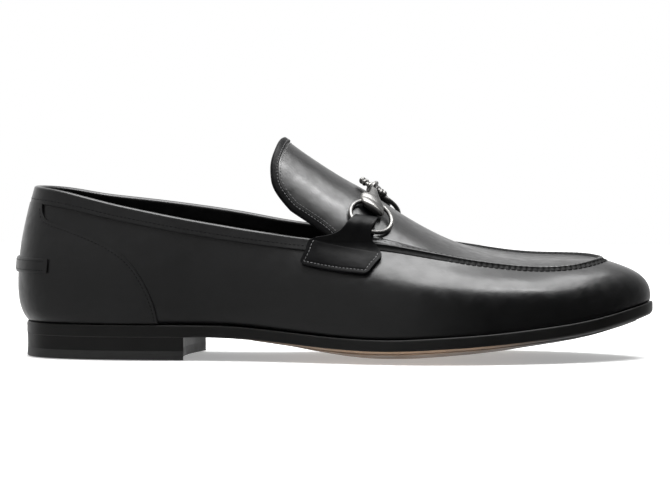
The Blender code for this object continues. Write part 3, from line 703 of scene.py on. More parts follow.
    def ring_side(self, ring_turn: float, level: float) -> Vector:
        """The side by one angle that is below zero on the outer side."""
        return self.side_point(min(abs(ring_turn), math.pi), -1 if ring_turn < 0 else 1, level)

    def side_normal(self, ring_turn: float, level: float) -> Vector:
        """Unit normal of the side, out of the shoe.

        Args:
            ring_turn: Angle from the back, below zero on the outer side.
            level: Level up the side.

        Returns:
            The normal.
        """
        level = min(max(level, 0.02), 1.98)
        run = self.ring_side(ring_turn + 0.01, level) - self.ring_side(ring_turn - 0.01, level)
        rise = self.ring_side(ring_turn, level + 0.01) - self.ring_side(ring_turn, level - 0.01)
        normal = run.cross(rise).normalized()
        outward = self.sole.outward(abs(ring_turn), -1 if ring_turn < 0 else 1)
        return normal if normal.dot(outward) > 0 else -normal

    def side_above(self, ring_turn: float, level: float, lift: float) -> Vector:
        """A point held above the side by lift, following its creases."""
        point = self.ring_side(ring_turn, level)
        return point + self.side_normal(ring_turn, level) * (lift - self.worn(point))

    def worn(self, point: Vector) -> float:
        """How far wear has sunk the skin at a point."""
        return sum(crease.sink(point) for crease in self.creases)

    def arch_point(self, x: float, across: float) -> Vector:
        """A point of apron or tongue: across is -1 and 1 at the topline, 0 on the ridge.

        Args:
            x: Place along the shoe.
            across: Place across the arch.

        Returns:
            The point.
        """
        edge = self.topline(self.top.turn_at(x), -1 if across < 0 else 1)
        along, s = self.along(x), self.sizes
        top = self.sole_edge(x) + s.sole_edge + s.tongue_height * RIDGE.at("height", along)
        arch = math.radians(RIDGE.at("arch", along))
        turn = abs(across) * arch
        half = (edge.y - self.middle(x)) * math.sin(turn) / math.sin(arch)
        drop = (top - edge.z) * (1 - math.cos(turn)) / (1 - math.cos(arch))
        return Vector((x, self.middle(x) + half, top - drop))

    def arch_normal(self, x: float, across: float) -> Vector:
        """Unit normal of apron or tongue, upwards.

        Args:
            x: Place along the shoe.
            across: Place across the arch.

        Returns:
            The normal.
        """
        run = self.arch_point(x + MM, across) - self.arch_point(x - MM, across)
        over = self.arch_point(x, across + 0.01) - self.arch_point(x, across - 0.01)
        normal = run.cross(over).normalized()
        return normal if normal.z > 0 else -normal

    def tongue_place(self, back: float, across: float) -> tuple[float, float]:
        """Place along the shoe and across its arch on the tongue.

        Args:
            back: 0 at the junction with the quarters, 1 at the free edge.
            across: -1 and 1 at the tongue's own side edges.

        Returns:
            The two arguments of arch_point.
        """
        start = self.top.x_at(JUNCTION_TURN)
        share = TONGUE_TIP.at("along", abs(across) * TONGUE_CORNER)
        tip = self.sizes.back + self.sizes.sole_length * share
        narrow = 1 - (1 - TONGUE_CORNER) * back**TONGUE_SIDE_BEND
        return lerp(start, tip, back), across * narrow

    def tongue_edge(self, share: float) -> tuple[float, float]:
        """The tongue's free edge, from the outer junction over the tip to the inner one.

        Args:
            share: Share of the way round.

        Returns:
            The two arguments of arch_point.
        """
        side_part = 0.34
        if share < side_part:
            return self.tongue_place(share / side_part, -1)
        if share > 1 - side_part:
            return self.tongue_place((1 - share) / side_part, 1)
        return self.tongue_place(1.0, 2 * (share - side_part) / (1 - 2 * side_part) - 1)

    def level_at(self, ring_turn: float, height: float) -> float:
        """The level of the side at a height over the floor."""
        return halved(0.0, 2.0, 22, lambda level: self.ring_side(ring_turn, level).z < height)

    def level_below(self, ring_turn: float, depth: float) -> float:
        """The level at a depth under the topline, measured on the side."""
        return 2 - walked(lambda share: self.ring_side(ring_turn, 2 - share), depth, 120)

    def counter_turn(self, share: float, top: float) -> float:
        """The angle that the heel counter reaches at a share of its height.

        Args:
            share: Share of the counter's height.
            top: Height of the counter's upper edge.

        Returns:
            The angle from the back.
        """
        reach = self.sizes.back + self.sizes.counter_reach * COUNTER_LINE.at("reach", share)
        base = self.sole_edge(reach) + self.sizes.sole_edge + self.sizes.gap
        height = lerp(base, top, share)
        return halved(0.0, math.pi / 2, 24,
                      lambda turn: self.ring_side(turn, self.level_at(turn, height)).x < reach)

    def girth_point(self, x: float, up: float, side: int, stand: float) -> Vector:
        """A point by its run over the girth.

        Args:
            x: Place along the shoe.
            up: Run up from the topline, on the skin; below zero on the side.
            side: Side of the shoe.
            stand: How far it stands off the skin.

        Returns:
            The point.
        """
        if up <= 0:
            turn = side * halved(0.9, 2.4, 15, lambda turn: self.ring_side(
                side * turn, self.level_below(side * turn, -up)).x < x)
            level = self.level_below(turn, -up)
            return self.ring_side(turn, level) + self.side_normal(turn, level) * stand
        across = side * (1 - walked(lambda share: self.arch_point(x, side * (1 - share)), up, 90))
        return self.arch_point(x, across) + self.arch_normal(x, across) * stand

    def strap_seat(self, side: int, run: float, share: float, lift: float) -> Vector:
        """A point of a strap's middle layer.

        Args:
            side: Side of the shoe.
            run: Share of the strap's run over the girth.
            share: -1 at its rear edge and 1 at its front one.
            lift: How far above the middle layer.

        Returns:
            The point.
        """
        width, radius = self.sizes.strap_width, self.sizes.ring_radius
        centre = self.sizes.bit_place - self.sizes.strap_back + width * STRAP_RUN.at("middle", run)
        x = centre + share * width * STRAP_RUN.at("half", run)
        up = (STRAP_RUN.at("up", run) - share * STRAP_RUN.at("drop", run)) * radius
        return self.girth_point(x, up, side, STRAP_RUN.at("stand", run) * radius + lift)


@dataclass(frozen=True)
class Frame3:
    """A place with three directions: along, up and out."""

    centre: Vector
    forward: Vector
    up: Vector
    out: Vector


def laid_grid(bm: Mesh, columns: int, rows: int, place: Place) -> list:
    """Lays a grid of faces so that its points go where a function says.

    Args:
        bm: The mesh it is added to.
        columns: Faces along the grid.
        rows: Faces across the grid.
        place: Gives the point at a column and a row.

    Returns:
        The grid's faces.
    """
    made = bmesh.ops.create_grid(bm, x_segments=columns, y_segments=rows, size=1)
    for vert in made["verts"]:
        column = round((vert.co.x + 1) / 2 * columns)
        row = round((vert.co.y + 1) / 2 * rows)
        vert.co = place(column, row)
    return list({face for vert in made["verts"] for face in vert.link_faces})


def merge(bm: Mesh, distance: float = 0.01 * MM) -> None:
    """Merges doubled points and points every face the same way."""
    bmesh.ops.remove_doubles(bm, verts=bm.verts, dist=distance)
    bmesh.ops.recalc_face_normals(bm, faces=bm.faces)


def close_outwards(bm: Mesh) -> None:
    """Merges doubles, closes what is open and turns the faces out."""
    bmesh.ops.remove_doubles(bm, verts=bm.verts, dist=0.01 * MM)
    bmesh.ops.holes_fill(bm, edges=[edge for edge in bm.edges if edge.is_boundary], sides=0)
    bmesh.ops.recalc_face_normals(bm, faces=bm.faces)
    if bm.calc_volume(signed=True) < 0:
        bmesh.ops.reverse_faces(bm, faces=bm.faces)


def turn_from(bm: Mesh, heart: Vector | None = None) -> None:
    """Turns an open sheet's faces away from a point.

    Args:
        bm: The sheet.
        heart: The point, or None for the middle of the sheet's own points.
    """
    if heart is None:
        heart = sum((vert.co for vert in bm.verts), Vector()) / len(bm.verts)
    if sum((f.calc_center_median() - heart).dot(f.normal) * f.calc_area() for f in bm.faces) < 0:
        bmesh.ops.reverse_faces(bm, faces=bm.faces)


def face_toward(bm: Mesh, spot: Vector, out: Vector) -> None:
    """Turns a sheet so that its face nearest a spot looks along a direction.

    Args:
        bm: The sheet.
        spot: The spot.
        out: The direction.
    """
    near = min(bm.faces, key=lambda face: (face.calc_center_median() - spot).length)
    if near.normal.dot(out) < 0:
        bmesh.ops.reverse_faces(bm, faces=bm.faces)


def tube(bm: Mesh, points: list[Vector], outs: list[Vector], radius: float,
         around: int = 8, flat: float = 1.0) -> None:
    """Lays a closed-ended tube along points.

    Args:
        bm: The mesh it is added to.
        points: The points that its core runs through.
        outs: The direction that leaves the leather at each point.
        radius: Radius of the tube.
        around: Faces around it.
        flat: Its height over its width.
    """
    last = len(points) - 1

    def place(column: int, row: int) -> Vector:
        """A point of the tube's skin."""
        run = (points[min(column + 1, last)] - points[max(column - 1, 0)]).normalized()
        wide = run.cross(outs[column]).normalized()
        turn = 2 * math.pi * row / around
        size = radius * (0.25 if column in (0, last) else 1.0)
        return points[column] + (wide * math.cos(turn) + outs[column] * math.sin(turn) * flat) * size

    start = len(bm.verts)
    laid_grid(bm, last, around, place)
    bm.verts.ensure_lookup_table()
    new = bm.verts[start:]
    bmesh.ops.remove_doubles(bm, verts=new, dist=0.002 * MM)
    bm.verts.ensure_lookup_table()
    fresh = set(bm.verts[start:])
    open_edges = [edge for edge in bm.edges if edge.is_boundary and edge.verts[0] in fresh]
    bmesh.ops.holes_fill(bm, edges=open_edges, sides=0)


def ring_of_wire(bm: Mesh, seat: Frame3, long_radius: float, short_radius: float,
                 wire: float, steps: int = 72, around: int = 18) -> None:
    """Lays a ring of wire on an ellipse in a frame's plane of forward and up.

    Args:
        bm: The mesh it is added to.
        seat: The ring's centre and directions.
        long_radius: Radius along forward.
        short_radius: Radius along up.
        wire: Radius of the wire.
        steps: Faces along the wire.
        around: Faces around the wire.
    """

    def place(column: int, row: int) -> Vector:
        """A point of the wire's skin."""
        turn = 2 * math.pi * column / steps
        about = 2 * math.pi * row / around
        radial = seat.forward * math.cos(turn) + seat.up * math.sin(turn)
        core = (
            seat.centre
            + seat.forward * long_radius * math.cos(turn)
            + seat.up * short_radius * math.sin(turn)
        )
        return core + radial * wire * math.cos(about) + seat.out * wire * math.sin(about)

    start = len(bm.verts)
    laid_grid(bm, steps, around, place)
    bm.verts.ensure_lookup_table()
    bmesh.ops.remove_doubles(bm, verts=bm.verts[start:], dist=0.005 * MM)


class Trail:
    """A line on the leather, measured by its length."""

    def __init__(self, points: list[Vector], outs: list[Vector]) -> None:
        """Measures the line.

        Args:
            points: Points along it.
            outs: The direction that leaves the leather at each point.
        """
        self.points = np.array([tuple(point) for point in points])
        self.outs = np.array([tuple(out) for out in outs])
        steps = np.linalg.norm(np.diff(self.points, axis=0), axis=1)
        self.runs = np.concatenate([[0.0], np.cumsum(steps)])
        self.length = float(self.runs[-1])

    def at(self, run: float) -> tuple[Vector, Vector, Vector]:
        """Reads the line.

        Args:
            run: Length from its start.

        Returns:
            The point, the direction ahead and the direction out of the leather.
        """
        spots = [run, max(run - 0.4 * MM, 0.0), min(run + 0.4 * MM, self.length)]
        here, back, ahead = (
            Vector([float(np.interp(spot, self.runs, self.points[:, i])) for i in range(3)])
            for spot in spots
        )
        out = Vector([float(np.interp(run, self.runs, self.outs[:, i])) for i in range(3)])
        return here, (ahead - back).normalized(), out.normalized()

    def beside(self, away: float, lift: float = 0.0) -> "Trail":
        """The same line moved sideways over the leather.

        Args:
            away: How far to the side that out × ahead points to.
            lift: How far up.

        Returns:
            A new line.
        """
        points, outs = [], []
        for run in np.linspace(0, self.length, len(self.points)):
            here, ahead, out = self.at(float(run))
            points.append(here + out.cross(ahead) * away + out * lift)
            outs.append(out)
        return Trail(points, outs)


@dataclass(frozen=True)
class Stitching:
    """A row of lock stitches, each one a small bead of thread pulled into the leather."""

    length: float = 1.45 * MM
    gap: float = 0.5 * MM
    width: float = 0.42 * MM
    height: float = 0.3 * MM

    def sew(self, bm: Mesh, trail: Trail, start: float = 0.0,
            end: float | None = None) -> int:
        """Sews along a line.

        Args:
            bm: The mesh that takes the stitches.
            trail: The line.
            start: Length along it where the row starts.
            end: Length where it ends, or None for its end.

        Returns:
            How many stitches were sewn.
        """
        end = trail.length if end is None else end
        pitch = self.length + self.gap
        count = max(1, int((end - start) / pitch))
        pitch = (end - start) / count
        for i in range(count):
            here, ahead, out = trail.at(start + (i + 0.5) * pitch)
            turn = Matrix((ahead, out.cross(ahead).normalized(), out)).transposed().to_4x4()
            sizes = (pitch - self.gap, self.width, self.height)
            scale = Matrix.Diagonal((*sizes, 1.0))
            bmesh.ops.create_uvsphere(
                bm, u_segments=6, v_segments=4, radius=0.5,
                matrix=Matrix.Translation(here) @ turn @ scale,
            )
        return count


class Pen:
    """Lays down nodes of a material one after another."""

    def __init__(self, name: str) -> None:
        """Starts a material with an empty shader.

        Args:
            name: The material's name.
        """
        self.material = bpy.data.materials.new(name)
        self.material.use_nodes = True
        self.tree = self.material.node_tree
        self.shader = self.tree.nodes["Principled BSDF"]
        self.coords = self.tree.nodes.new("ShaderNodeTexCoord").outputs["Object"]
        self.height: Socket | None = None

    def node(self, kind: str, **values: object) -> bpy.types.Node:
        """Adds a node.

        Args:
            kind: The node's kind without its prefix.
            values: Socket values, or sockets to link, by name with _ for a space.

        Returns:
            The node.
        """
        made = self.tree.nodes.new("ShaderNode" + kind)
        for name, value in values.items():
            self.put(made.inputs[name.replace("_", " ")], value)
        return made

    def put(self, socket: Socket, value: object) -> None:
        """Sets or links a socket.

        Args:
            socket: The socket that is given the value.
            value: A number, a colour or another socket.
        """
        if isinstance(value, Socket):
            self.tree.links.new(value, socket)
        else:
            socket.default_value = value

    def noise(self, scale: float, detail: float = 3.0, rough: float = 0.55) -> Socket:
        """Soft noise over the piece.

        Args:
            scale: Waves for each metre.
            detail: How many finer layers it has.
            rough: How strong the finer layers are.

        Returns:
            Its value from 0 to 1.
        """
        made = self.node("TexNoise", Vector=self.coords, Scale=scale, Detail=detail)
        made.inputs["Roughness"].default_value = rough
        return made.outputs["Fac"]

    def cells(self, scale: float, spread: float = 1.0) -> Socket:
        """Small round cells, high in their middles.

        Args:
            scale: Cells for each metre.
            spread: How irregular they lie.

        Returns:
            Distance from each cell's middle.
        """
        made = self.node("TexVoronoi", Vector=self.coords, Scale=scale, Randomness=spread)
        return made.outputs["Distance"]

    def range(self, value: Socket, low: float, high: float, to_low: float,
              to_high: float) -> Socket:
        """Stretches one range of values to another.

        Args:
            value: The value.
            low: Start of its range.
            high: End of its range.
            to_low: What the start becomes.
            to_high: What the end becomes.

        Returns:
            The new value.
        """
        made = self.node("MapRange", Value=value)
        made.inputs["From Min"].default_value = low
        made.inputs["From Max"].default_value = high
        made.inputs["To Min"].default_value = to_low
        made.inputs["To Max"].default_value = to_high
        return made.outputs["Result"]

    def mix(self, share: object, first: object, second: object) -> Socket:
        """Mixes two colours.

        Args:
            share: Share of the second one.
            first: The first colour, as three numbers or a socket.
            second: The second colour.

        Returns:
            The mixed colour.
        """
        made = self.tree.nodes.new("ShaderNodeMix")
        made.data_type = "RGBA"
        self.put(made.inputs[0], share)
        self.put(made.inputs[6], (*first, 1.0) if isinstance(first, tuple) else first)
        self.put(made.inputs[7], (*second, 1.0) if isinstance(second, tuple) else second)
        return made.outputs[2]

    def relief(self, height: Socket, depth: float, strength: float = 1.0) -> None:
        """Raises the surface by a height map, on top of what is there already.

        Args:
            height: The map, from 0 to 1.
            depth: How deep it is, in metres.
            strength: Share of it that shows.
        """
        bump = self.node("Bump", Height=height, Distance=depth, Strength=strength)
        if self.height is not None:
            self.put(bump.inputs["Normal"], self.height)
        self.height = bump.outputs["Normal"]

    def finish(self, **values: object) -> Material:
        """Sets the shader.

        Args:
            values: Shader values by socket name with _ for a space.

        Returns:
            The finished material.
        """
        for name, value in values.items():
            self.put(self.shader.inputs[name.replace("_", " ")], value)
        if self.height is not None:
            self.put(self.shader.inputs["Normal"], self.height)
        return self.material


@dataclass(frozen=True)
class Calf:
    """Polished box calf: near black, fine pores, a thin wax coat."""

    name: str = "black_calf"
    dark: Colour = (0.0016, 0.0016, 0.0018)
    light: Colour = (0.0034, 0.0034, 0.0038)
    roughness: float = 0.36
    grain: float = 0.05 * MM
    coat: float = 0.25
    shine: float = 0.5

    def make(self) -> Material:
        """Builds the material.

        Returns:
            The material.
        """
        pen = Pen(self.name)
        patches = pen.noise(34, 4)
        pores = pen.cells(1500)
        colour = pen.mix(pen.range(patches, 0.3, 0.7, 0.0, 1.0), self.dark, self.light)
        colour = pen.mix(pen.range(pores, 0.0, 0.25, 0.35, 0.0), colour, (0.004, 0.004, 0.004))
        pen.relief(pen.noise(105, 2), 0.6 * MM, 0.42)
        pen.relief(pen.noise(420, 4), self.grain, 0.32)
        pen.relief(pores, self.grain, 0.22)
        rough = pen.range(
            pen.noise(170, 5), 0.3, 0.7, self.roughness - 0.08, self.roughness + 0.09
        )
        return pen.finish(
            Base_Color=colour,
            Roughness=rough,
            Specular_IOR_Level=self.shine,
            Coat_Weight=self.coat,
            Coat_Roughness=0.24,
        )


@dataclass(frozen=True)
class Lining:
    """Smooth dark lining leather, dull, with fine pores."""

    name: str = "lining"
    dark: Colour = (0.006, 0.006, 0.006)
    light: Colour = (0.011, 0.0105, 0.010)

    def make(self) -> Material:
        """Builds the material.

        Returns:
            The material.
        """
        pen = Pen(self.name)
        colour = pen.mix(pen.noise(60, 5), self.dark, self.light)
        pen.relief(pen.cells(1100), 0.05 * MM, 0.5)
        pen.relief(pen.noise(300, 4), 0.08 * MM, 0.4)
        return pen.finish(Base_Color=colour, Roughness=pen.range(pen.noise(90), 0.3, 0.7, 0.6, 0.75),
                          Specular_IOR_Level=0.3)


@dataclass(frozen=True)
class Thread:
    """Waxed thread with a twist."""

    name: str = "thread"
    colour: Colour = (0.004, 0.004, 0.0045)
    roughness: float = 0.46
    shine: float = 0.14

    def make(self) -> Material:
        """Builds the material.

        Returns:
            The material.
        """
        pen = Pen(self.name)
        twist = pen.node("TexWave", Vector=pen.coords, Scale=2600.0, Distortion=2.0)
        pen.relief(twist.outputs["Fac"], 0.04 * MM, 0.6)
        dark = tuple(part * 0.6 for part in self.colour)
        return pen.finish(Base_Color=pen.mix(pen.noise(500), dark, self.colour),
                          Roughness=self.roughness, Specular_IOR_Level=self.shine)


@dataclass(frozen=True)
class EdgePaint:
    """Painted and burnished edge of sole and heel, with the leather's layers showing faintly."""

    name: str = "edge_paint"
    colour: Colour = (0.0036, 0.0035, 0.0034)
    roughness: float = 0.4
    layers: float = 0.05 * MM

    def make(self) -> Material:
        """Builds the material.

        Returns:
            The material.
        """
        pen = Pen(self.name)
        stretch = pen.node("Mapping", Vector=pen.coords, Scale=(60.0, 60.0, 900.0))
        fibres = pen.node("TexNoise", Vector=stretch.outputs["Vector"], Scale=1.0, Detail=4.0)
        pen.relief(fibres.outputs["Fac"], self.layers, 0.5)
        pen.relief(pen.noise(160, 3), 0.09 * MM, 0.4)
        lighter = tuple(part * 1.6 for part in self.colour)
        colour = pen.mix(pen.range(pen.noise(50, 5), 0.35, 0.65, 0.0, 1.0), self.colour, lighter)
        rough = pen.range(pen.noise(110, 4), 0.3, 0.7, self.roughness - 0.06, self.roughness + 0.1)
        return pen.finish(Base_Color=colour, Roughness=rough, Specular_IOR_Level=0.3,
                          Coat_Weight=0.05, Coat_Roughness=0.3)


@dataclass(frozen=True)
class SoleLeather:
    """Bare sole leather, tan under the waist and near black toward heel and toe."""

    name: str = "sole_leather"
    tan: Colour = (0.30, 0.195, 0.12)
    near_black: Colour = (0.012, 0.011, 0.010)
    start: float = 84 * MM
    end: float = 186 * MM
    blend: float = 24 * MM

    def make(self) -> Material:
        """Builds the material.

        Returns:
            The material.
        """
        pen = Pen(self.name)
        apart = pen.node("SeparateXYZ", Vector=pen.coords)
        along = apart.outputs["X"]
        behind = pen.range(along, self.start - self.blend, self.start + self.blend, 0.0, 1.0)
        before = pen.range(along, self.end - self.blend, self.end + self.blend, 1.0, 0.0)
        bare = pen.node("Math")
        bare.operation = "MULTIPLY"
        pen.put(bare.inputs[0], behind)
        pen.put(bare.inputs[1], before)
        fibres = pen.noise(700, 5)
        brown = tuple(part * 0.62 for part in self.tan)
        skin = pen.mix(pen.range(pen.noise(45, 6), 0.35, 0.65, 0.0, 1.0), brown, self.tan)
        skin = pen.mix(pen.range(fibres, 0.55, 0.75, 0.0, 0.35), skin, (0.10, 0.055, 0.03))
        colour = pen.mix(bare.outputs[0], self.near_black, skin)
        pen.relief(fibres, 0.06 * MM, 0.5)
        return pen.finish(Base_Color=colour, Roughness=pen.range(pen.noise(80), 0.3, 0.7, 0.5, 0.66))


@dataclass(frozen=True)
class HeelRubber:
    """Hard moulded rubber of the top piece."""

    name: str = "heel_rubber"
    colour: Colour = (0.012, 0.012, 0.012)

    def make(self) -> Material:
        """Builds the material.

        Returns:
            The material.
        """
        pen = Pen(self.name)
        pen.relief(pen.noise(900, 3), 0.03 * MM, 0.5)
        pen.relief(pen.noise(120, 3), 0.07 * MM, 0.3)
        colour = pen.mix(pen.noise(200, 4), self.colour, (0.018, 0.018, 0.018))
        return pen.finish(Base_Color=colour, Roughness=pen.range(pen.noise(140), 0.3, 0.7, 0.46, 0.6))


@dataclass(frozen=True)
class AgedSilver:
    """Silver plate gone grey: bright where it is rubbed, nearly black where it isn't."""

    name: str = "aged_silver"
    bright: Colour = (0.27, 0.265, 0.255)
    dull: Colour = (0.045, 0.045, 0.047)
    roughness: float = 0.33

    def make(self) -> Material:
        """Builds the material.

        Returns:
            The material.
        """
        pen = Pen(self.name)
        rubbed = pen.node("NewGeometry").outputs["Pointiness"]
        high = pen.range(rubbed, 0.44, 0.53, 0.0, 1.0)
        blotches = pen.range(pen.noise(190, 5), 0.36, 0.62, 0.0, 1.0)
        share = pen.node("Math")
        share.operation = "MULTIPLY"
        pen.put(share.inputs[0], high)
        pen.put(share.inputs[1], pen.range(blotches, 0.0, 1.0, 0.55, 1.0))
        colour = pen.mix(share.outputs[0], self.dull, self.bright)
        pen.relief(pen.noise(650, 4), 0.03 * MM, 0.5)
        rough = pen.range(blotches, 0.0, 1.0, self.roughness + 0.14, self.roughness - 0.03)
        return pen.finish(Base_Color=colour, Metallic=1.0, Roughness=rough)


@dataclass
class Wardrobe:
    """Every finish of the shoe, made once."""

    calf: Material = field(default_factory=lambda: Calf().make())
    trim: Material = field(
        default_factory=lambda: Calf("black_calf_trim", roughness=0.41, coat=0.0, shine=0.11).make()
    )
    # A darker, duller copy of the calf, without coat and with little shine: painted shade for the pleated
    # groove of the apron seam and for the far seam's slope.
    seam: Material = field(
        default_factory=lambda: Calf(
            "seam_calf_painted_shade", (0.0016, 0.0016, 0.0018), (0.003, 0.003, 0.003), 0.55, coat=0.0, shine=0.12
        ).make()
    )
    lining: Material = field(default_factory=lambda: Lining().make())
    thread: Material = field(default_factory=lambda: Thread().make())
    # Light grey thread, far lighter than the black one: the grey is painted glints, standing in for the
    # sheen on dark stitches.
    painted_glint_thread: Material = field(
        default_factory=lambda: Thread("thread_painted_glints", (0.15, 0.15, 0.152), 0.3, 0.5).make()
    )
    edge: Material = field(default_factory=lambda: EdgePaint().make())
    heel: Material = field(
        default_factory=lambda: EdgePaint("heel_paint", layers=0.08 * MM).make()
    )
    sole: Material = field(default_factory=lambda: SoleLeather().make())
    rubber: Material = field(default_factory=lambda: HeelRubber().make())
    silver: Material = field(default_factory=lambda: AgedSilver().make())


@dataclass
class Bench:
    """Turns meshes into named pieces that ride on the shoe, with its skin and its finishes."""

    last: Last
    wardrobe: Wardrobe

    def piece(self, name: str, bm: Mesh, finishes: list, sharp: float = 40,
              replaces: tuple[str, ...] = ()) -> bpy.types.Object:
        """Makes a mesh a piece of the shoe.

        Args:
            name: Name of the piece.
            bm: Its mesh, which is used up.
            finishes: Its materials in order.
            sharp: Angle in degrees past which an edge stays sharp.
            replaces: The frame's nodes that the piece stands for.

        Returns:
            The piece.
        """
        mesh = bpy.data.meshes.new(name)
        bm.to_mesh(mesh)
        bm.free()
        mesh.shade_smooth()
        mesh.set_sharp_from_angle(angle=math.radians(sharp))
        for finish in finishes:
            mesh.materials.append(finish)
        obj = bpy.data.objects.new(name, mesh)
        bpy.context.scene.collection.objects.link(obj)
        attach(obj, "root")
        if replaces:
            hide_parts(*replaces)
        LOG.info("%s: %d faces", name, len(mesh.polygons))
        return obj

    def wall(self, obj: bpy.types.Object, thickness: float, layer: Layer,
             inner: int = 0, rim: int = 0) -> None:
        """Gives a sheet its thickness.

        Args:
            obj: The piece.
            thickness: The thickness.
            layer: Where it grows to.
            inner: Step from a face's material to its inner face's.
            rim: Step from a face's material to its rim's.
        """
        wall = obj.modifiers.new("wall", "SOLIDIFY")
        wall.thickness = thickness
        wall.offset = layer.value
        wall.use_even_offset = True
        wall.use_quality_normals = True
        wall.material_offset = inner
        wall.material_offset_rim = rim

    def soften(self, obj: bpy.types.Object, width: float, segments: int = 2,
               angle: float = 50) -> None:
        """Rounds a piece's sharp edges.

        Args:
            obj: The piece.
            width: Width of the rounding.
            segments: Faces across it.
            angle: Least angle of an edge that is rounded, in degrees.
        """
        bevel = obj.modifiers.new("soft_edges", "BEVEL")
        bevel.width = width
        bevel.segments = segments
        bevel.limit_method = "ANGLE"
        bevel.angle_limit = math.radians(angle)


@dataclass
class SoleUnit:
    """Leather sole, stacked heel, top piece and insole."""

    bench: Bench
    stations: int = 150
    bevel: float = 1.1 * MM
    heel_inset: float = 0.12 * MM
    heel_taper: float = 0.4 * MM
    breast_hollow: float = 4.4 * MM
    breast_skew: float = 3.6 * MM
    insole: float = 2.4 * MM
    insole_inset: float = 4.5 * MM
    insole_toe_inset: float = 2.5 * MM
    channel_inset: float = 6.5 * MM

    def spread(self, column: int) -> tuple[float, int]:
        """Angle and side of a column that runs from the toe round the outer side and back."""
        k = column - self.stations
        return math.pi * abs(k) / self.stations, -1 if k < 0 else 1

    def turned(self, x: float) -> float:
        """How far the sole's lower edge is bevelled: not at all over the heel, where it is flush."""
        heel_front = self.bench.last.sizes.back + self.bench.last.sizes.heel_length
        return lerp(0.1, 1.0, ease((x - heel_front + 3 * MM) / (8 * MM)))

    def face(self, bm: Mesh, columns: int, inset: float | None,
             height: Callable[[float, float], float]) -> list:
        """Fills the sole's outline with a sheet.

        Args:
            bm: The mesh.
            columns: Faces across.
            inset: How far inside the outline its edge lies, or None for the bevel's.
            height: Height at a place along and across.

        Returns:
            The sheet's faces.
        """
        last = self.bench.last

        def place(column: int, row: int) -> Vector:
            """A point of the sheet."""
            across = 2 * row / columns - 1
            turn = math.pi * column / self.stations
            depth = self.bevel * self.turned(last.sole.x_at(turn)) if inset is None else inset
            edge = last.sole.rim(turn, -1 if across < 0 else 1, depth)
            line = last.middle(edge.x)
            y = line + abs(across) * (edge.y - line)
            return Vector((edge.x, y, height(edge.x, across)))

        return laid_grid(bm, self.stations, columns, place)

    def build_outsole(self) -> None:
        """Builds the sole: hollowed above, hanging to the floor below, its edge turned and rounded."""
        last, sizes = self.bench.last, self.bench.last.sizes
        bm = bmesh.new()
        # Edge from below to above: how far in, and height over the lower edge.
        profile = (
            (self.bevel, 0.0),
            (0.62 * MM, 0.36 * MM),
            (0.22 * MM, 0.80 * MM),
            (0.03 * MM, 1.30 * MM),
            (0.00, 2.20 * MM),
            (0.00, 3.60 * MM),
            (0.02 * MM, 4.70 * MM),
            (0.16 * MM, 5.30 * MM),
            (0.45 * MM, 5.68 * MM),
            (0.85 * MM, sizes.sole_edge),
        )

        def edge(column: int, row: int) -> Vector:
            """A point of the sole's edge."""
            turn, side = self.spread(column)
            inset, lift = profile[row]
            if row < 4:
                inset *= self.turned(last.sole.x_at(turn))
            place = last.sole.rim(turn, side, inset)
            place.z = last.sole_edge(place.x) + lift
            return place

        bottom = set(self.face(bm, 22, None, last.sole_under))
        band = laid_grid(bm, 2 * self.stations, len(profile) - 1, edge)
        low = {face for face in band if max(v.co.z - last.sole_edge(v.co.x) for v in face.verts) < 0.5 * MM}
        for face in bottom | low:
            face.material_index = 1
        self.face(bm, 22, 0.85 * MM, last.sole_over)
        merge(bm)
        if bm.calc_volume(signed=True) < 0:
            bmesh.ops.reverse_faces(bm, faces=bm.faces)
        closet = self.bench.wardrobe
        self.bench.piece("outsole_leather", bm, [closet.edge, closet.sole], 60, ("outsole",))

    def build_channel(self) -> None:
        """Builds the closed channel that hides the sole's stitches underneath."""
        last = self.bench.last
        bm = bmesh.new()
        for side in (-1, 1):
            points = []
            for i in range(90):
                turn = lerp(1.30, 2.98, i / 89)
                place = last.sole.rim(turn, side, self.channel_inset)
                line = last.middle(place.x)
                half = last.sole.half_width(last.sole.turn_at(place.x), side)
                across = (place.y - line) / max(half, MM)
                place.z = last.sole_under(place.x, across) + 0.04 * MM
                points.append(place)
            tube(bm, points, [Vector((0, 0, -1))] * len(points), 0.5 * MM, 8, 0.4)
        merge(bm, 0.001 * MM)
        self.bench.piece("sole_channel", bm, [self.bench.wardrobe.sole])

    def heel_loop(self, share: float, inset: float) -> Vector:
        """The heel's outline: the sole's own behind, and the hollow breast across the front.

        Args:
            share: Share of the way round, from the outer front corner.
            inset: How far inside the sole's outline.

        Returns:
            The point, at height 0.
        """
        outline, sizes = self.bench.last.sole, self.bench.last.sizes
        corner = outline.turn_at(sizes.back + sizes.heel_length)
        front = outline.turn_at(sizes.back + sizes.heel_length + self.breast_skew)
        around = 0.78
        if share <= around:
            turn = lerp(-corner, front, share / around)
            return outline.offset(abs(turn), -1 if turn < 0 else 1, -inset)
        outer = outline.offset(corner, -1, -inset)
        inner = outline.offset(front, 1, -inset)
        way = (share - around) / (1 - around)
        hollow = self.breast_hollow * (1 - (2 * way - 1) ** 2)
        return inner.lerp(outer, way) - Vector((hollow, 0, 0))

    def slab(self, name: str, rows: tuple[tuple[float, float], ...], finish: Material,
             node: str) -> None:
        """Builds one layer of the heel from its section.

        Args:
            name: Name of the piece.
            rows: Inset and height of each row of its wall, from below.
            finish: Its material.
            node: The frame's node that it stands for.
        """
        steps = 168

        def place(column: int, row: int) -> Vector:
            """A point of the wall."""
            inset, height = rows[row]
            point = self.heel_loop((column % steps) / steps, inset)
            point.z = height
            return point

        bm = bmesh.new()
        laid_grid(bm, steps, len(rows) - 1, place)
        close_outwards(bm)
        self.bench.piece(name, bm, [finish], 35, (node,))

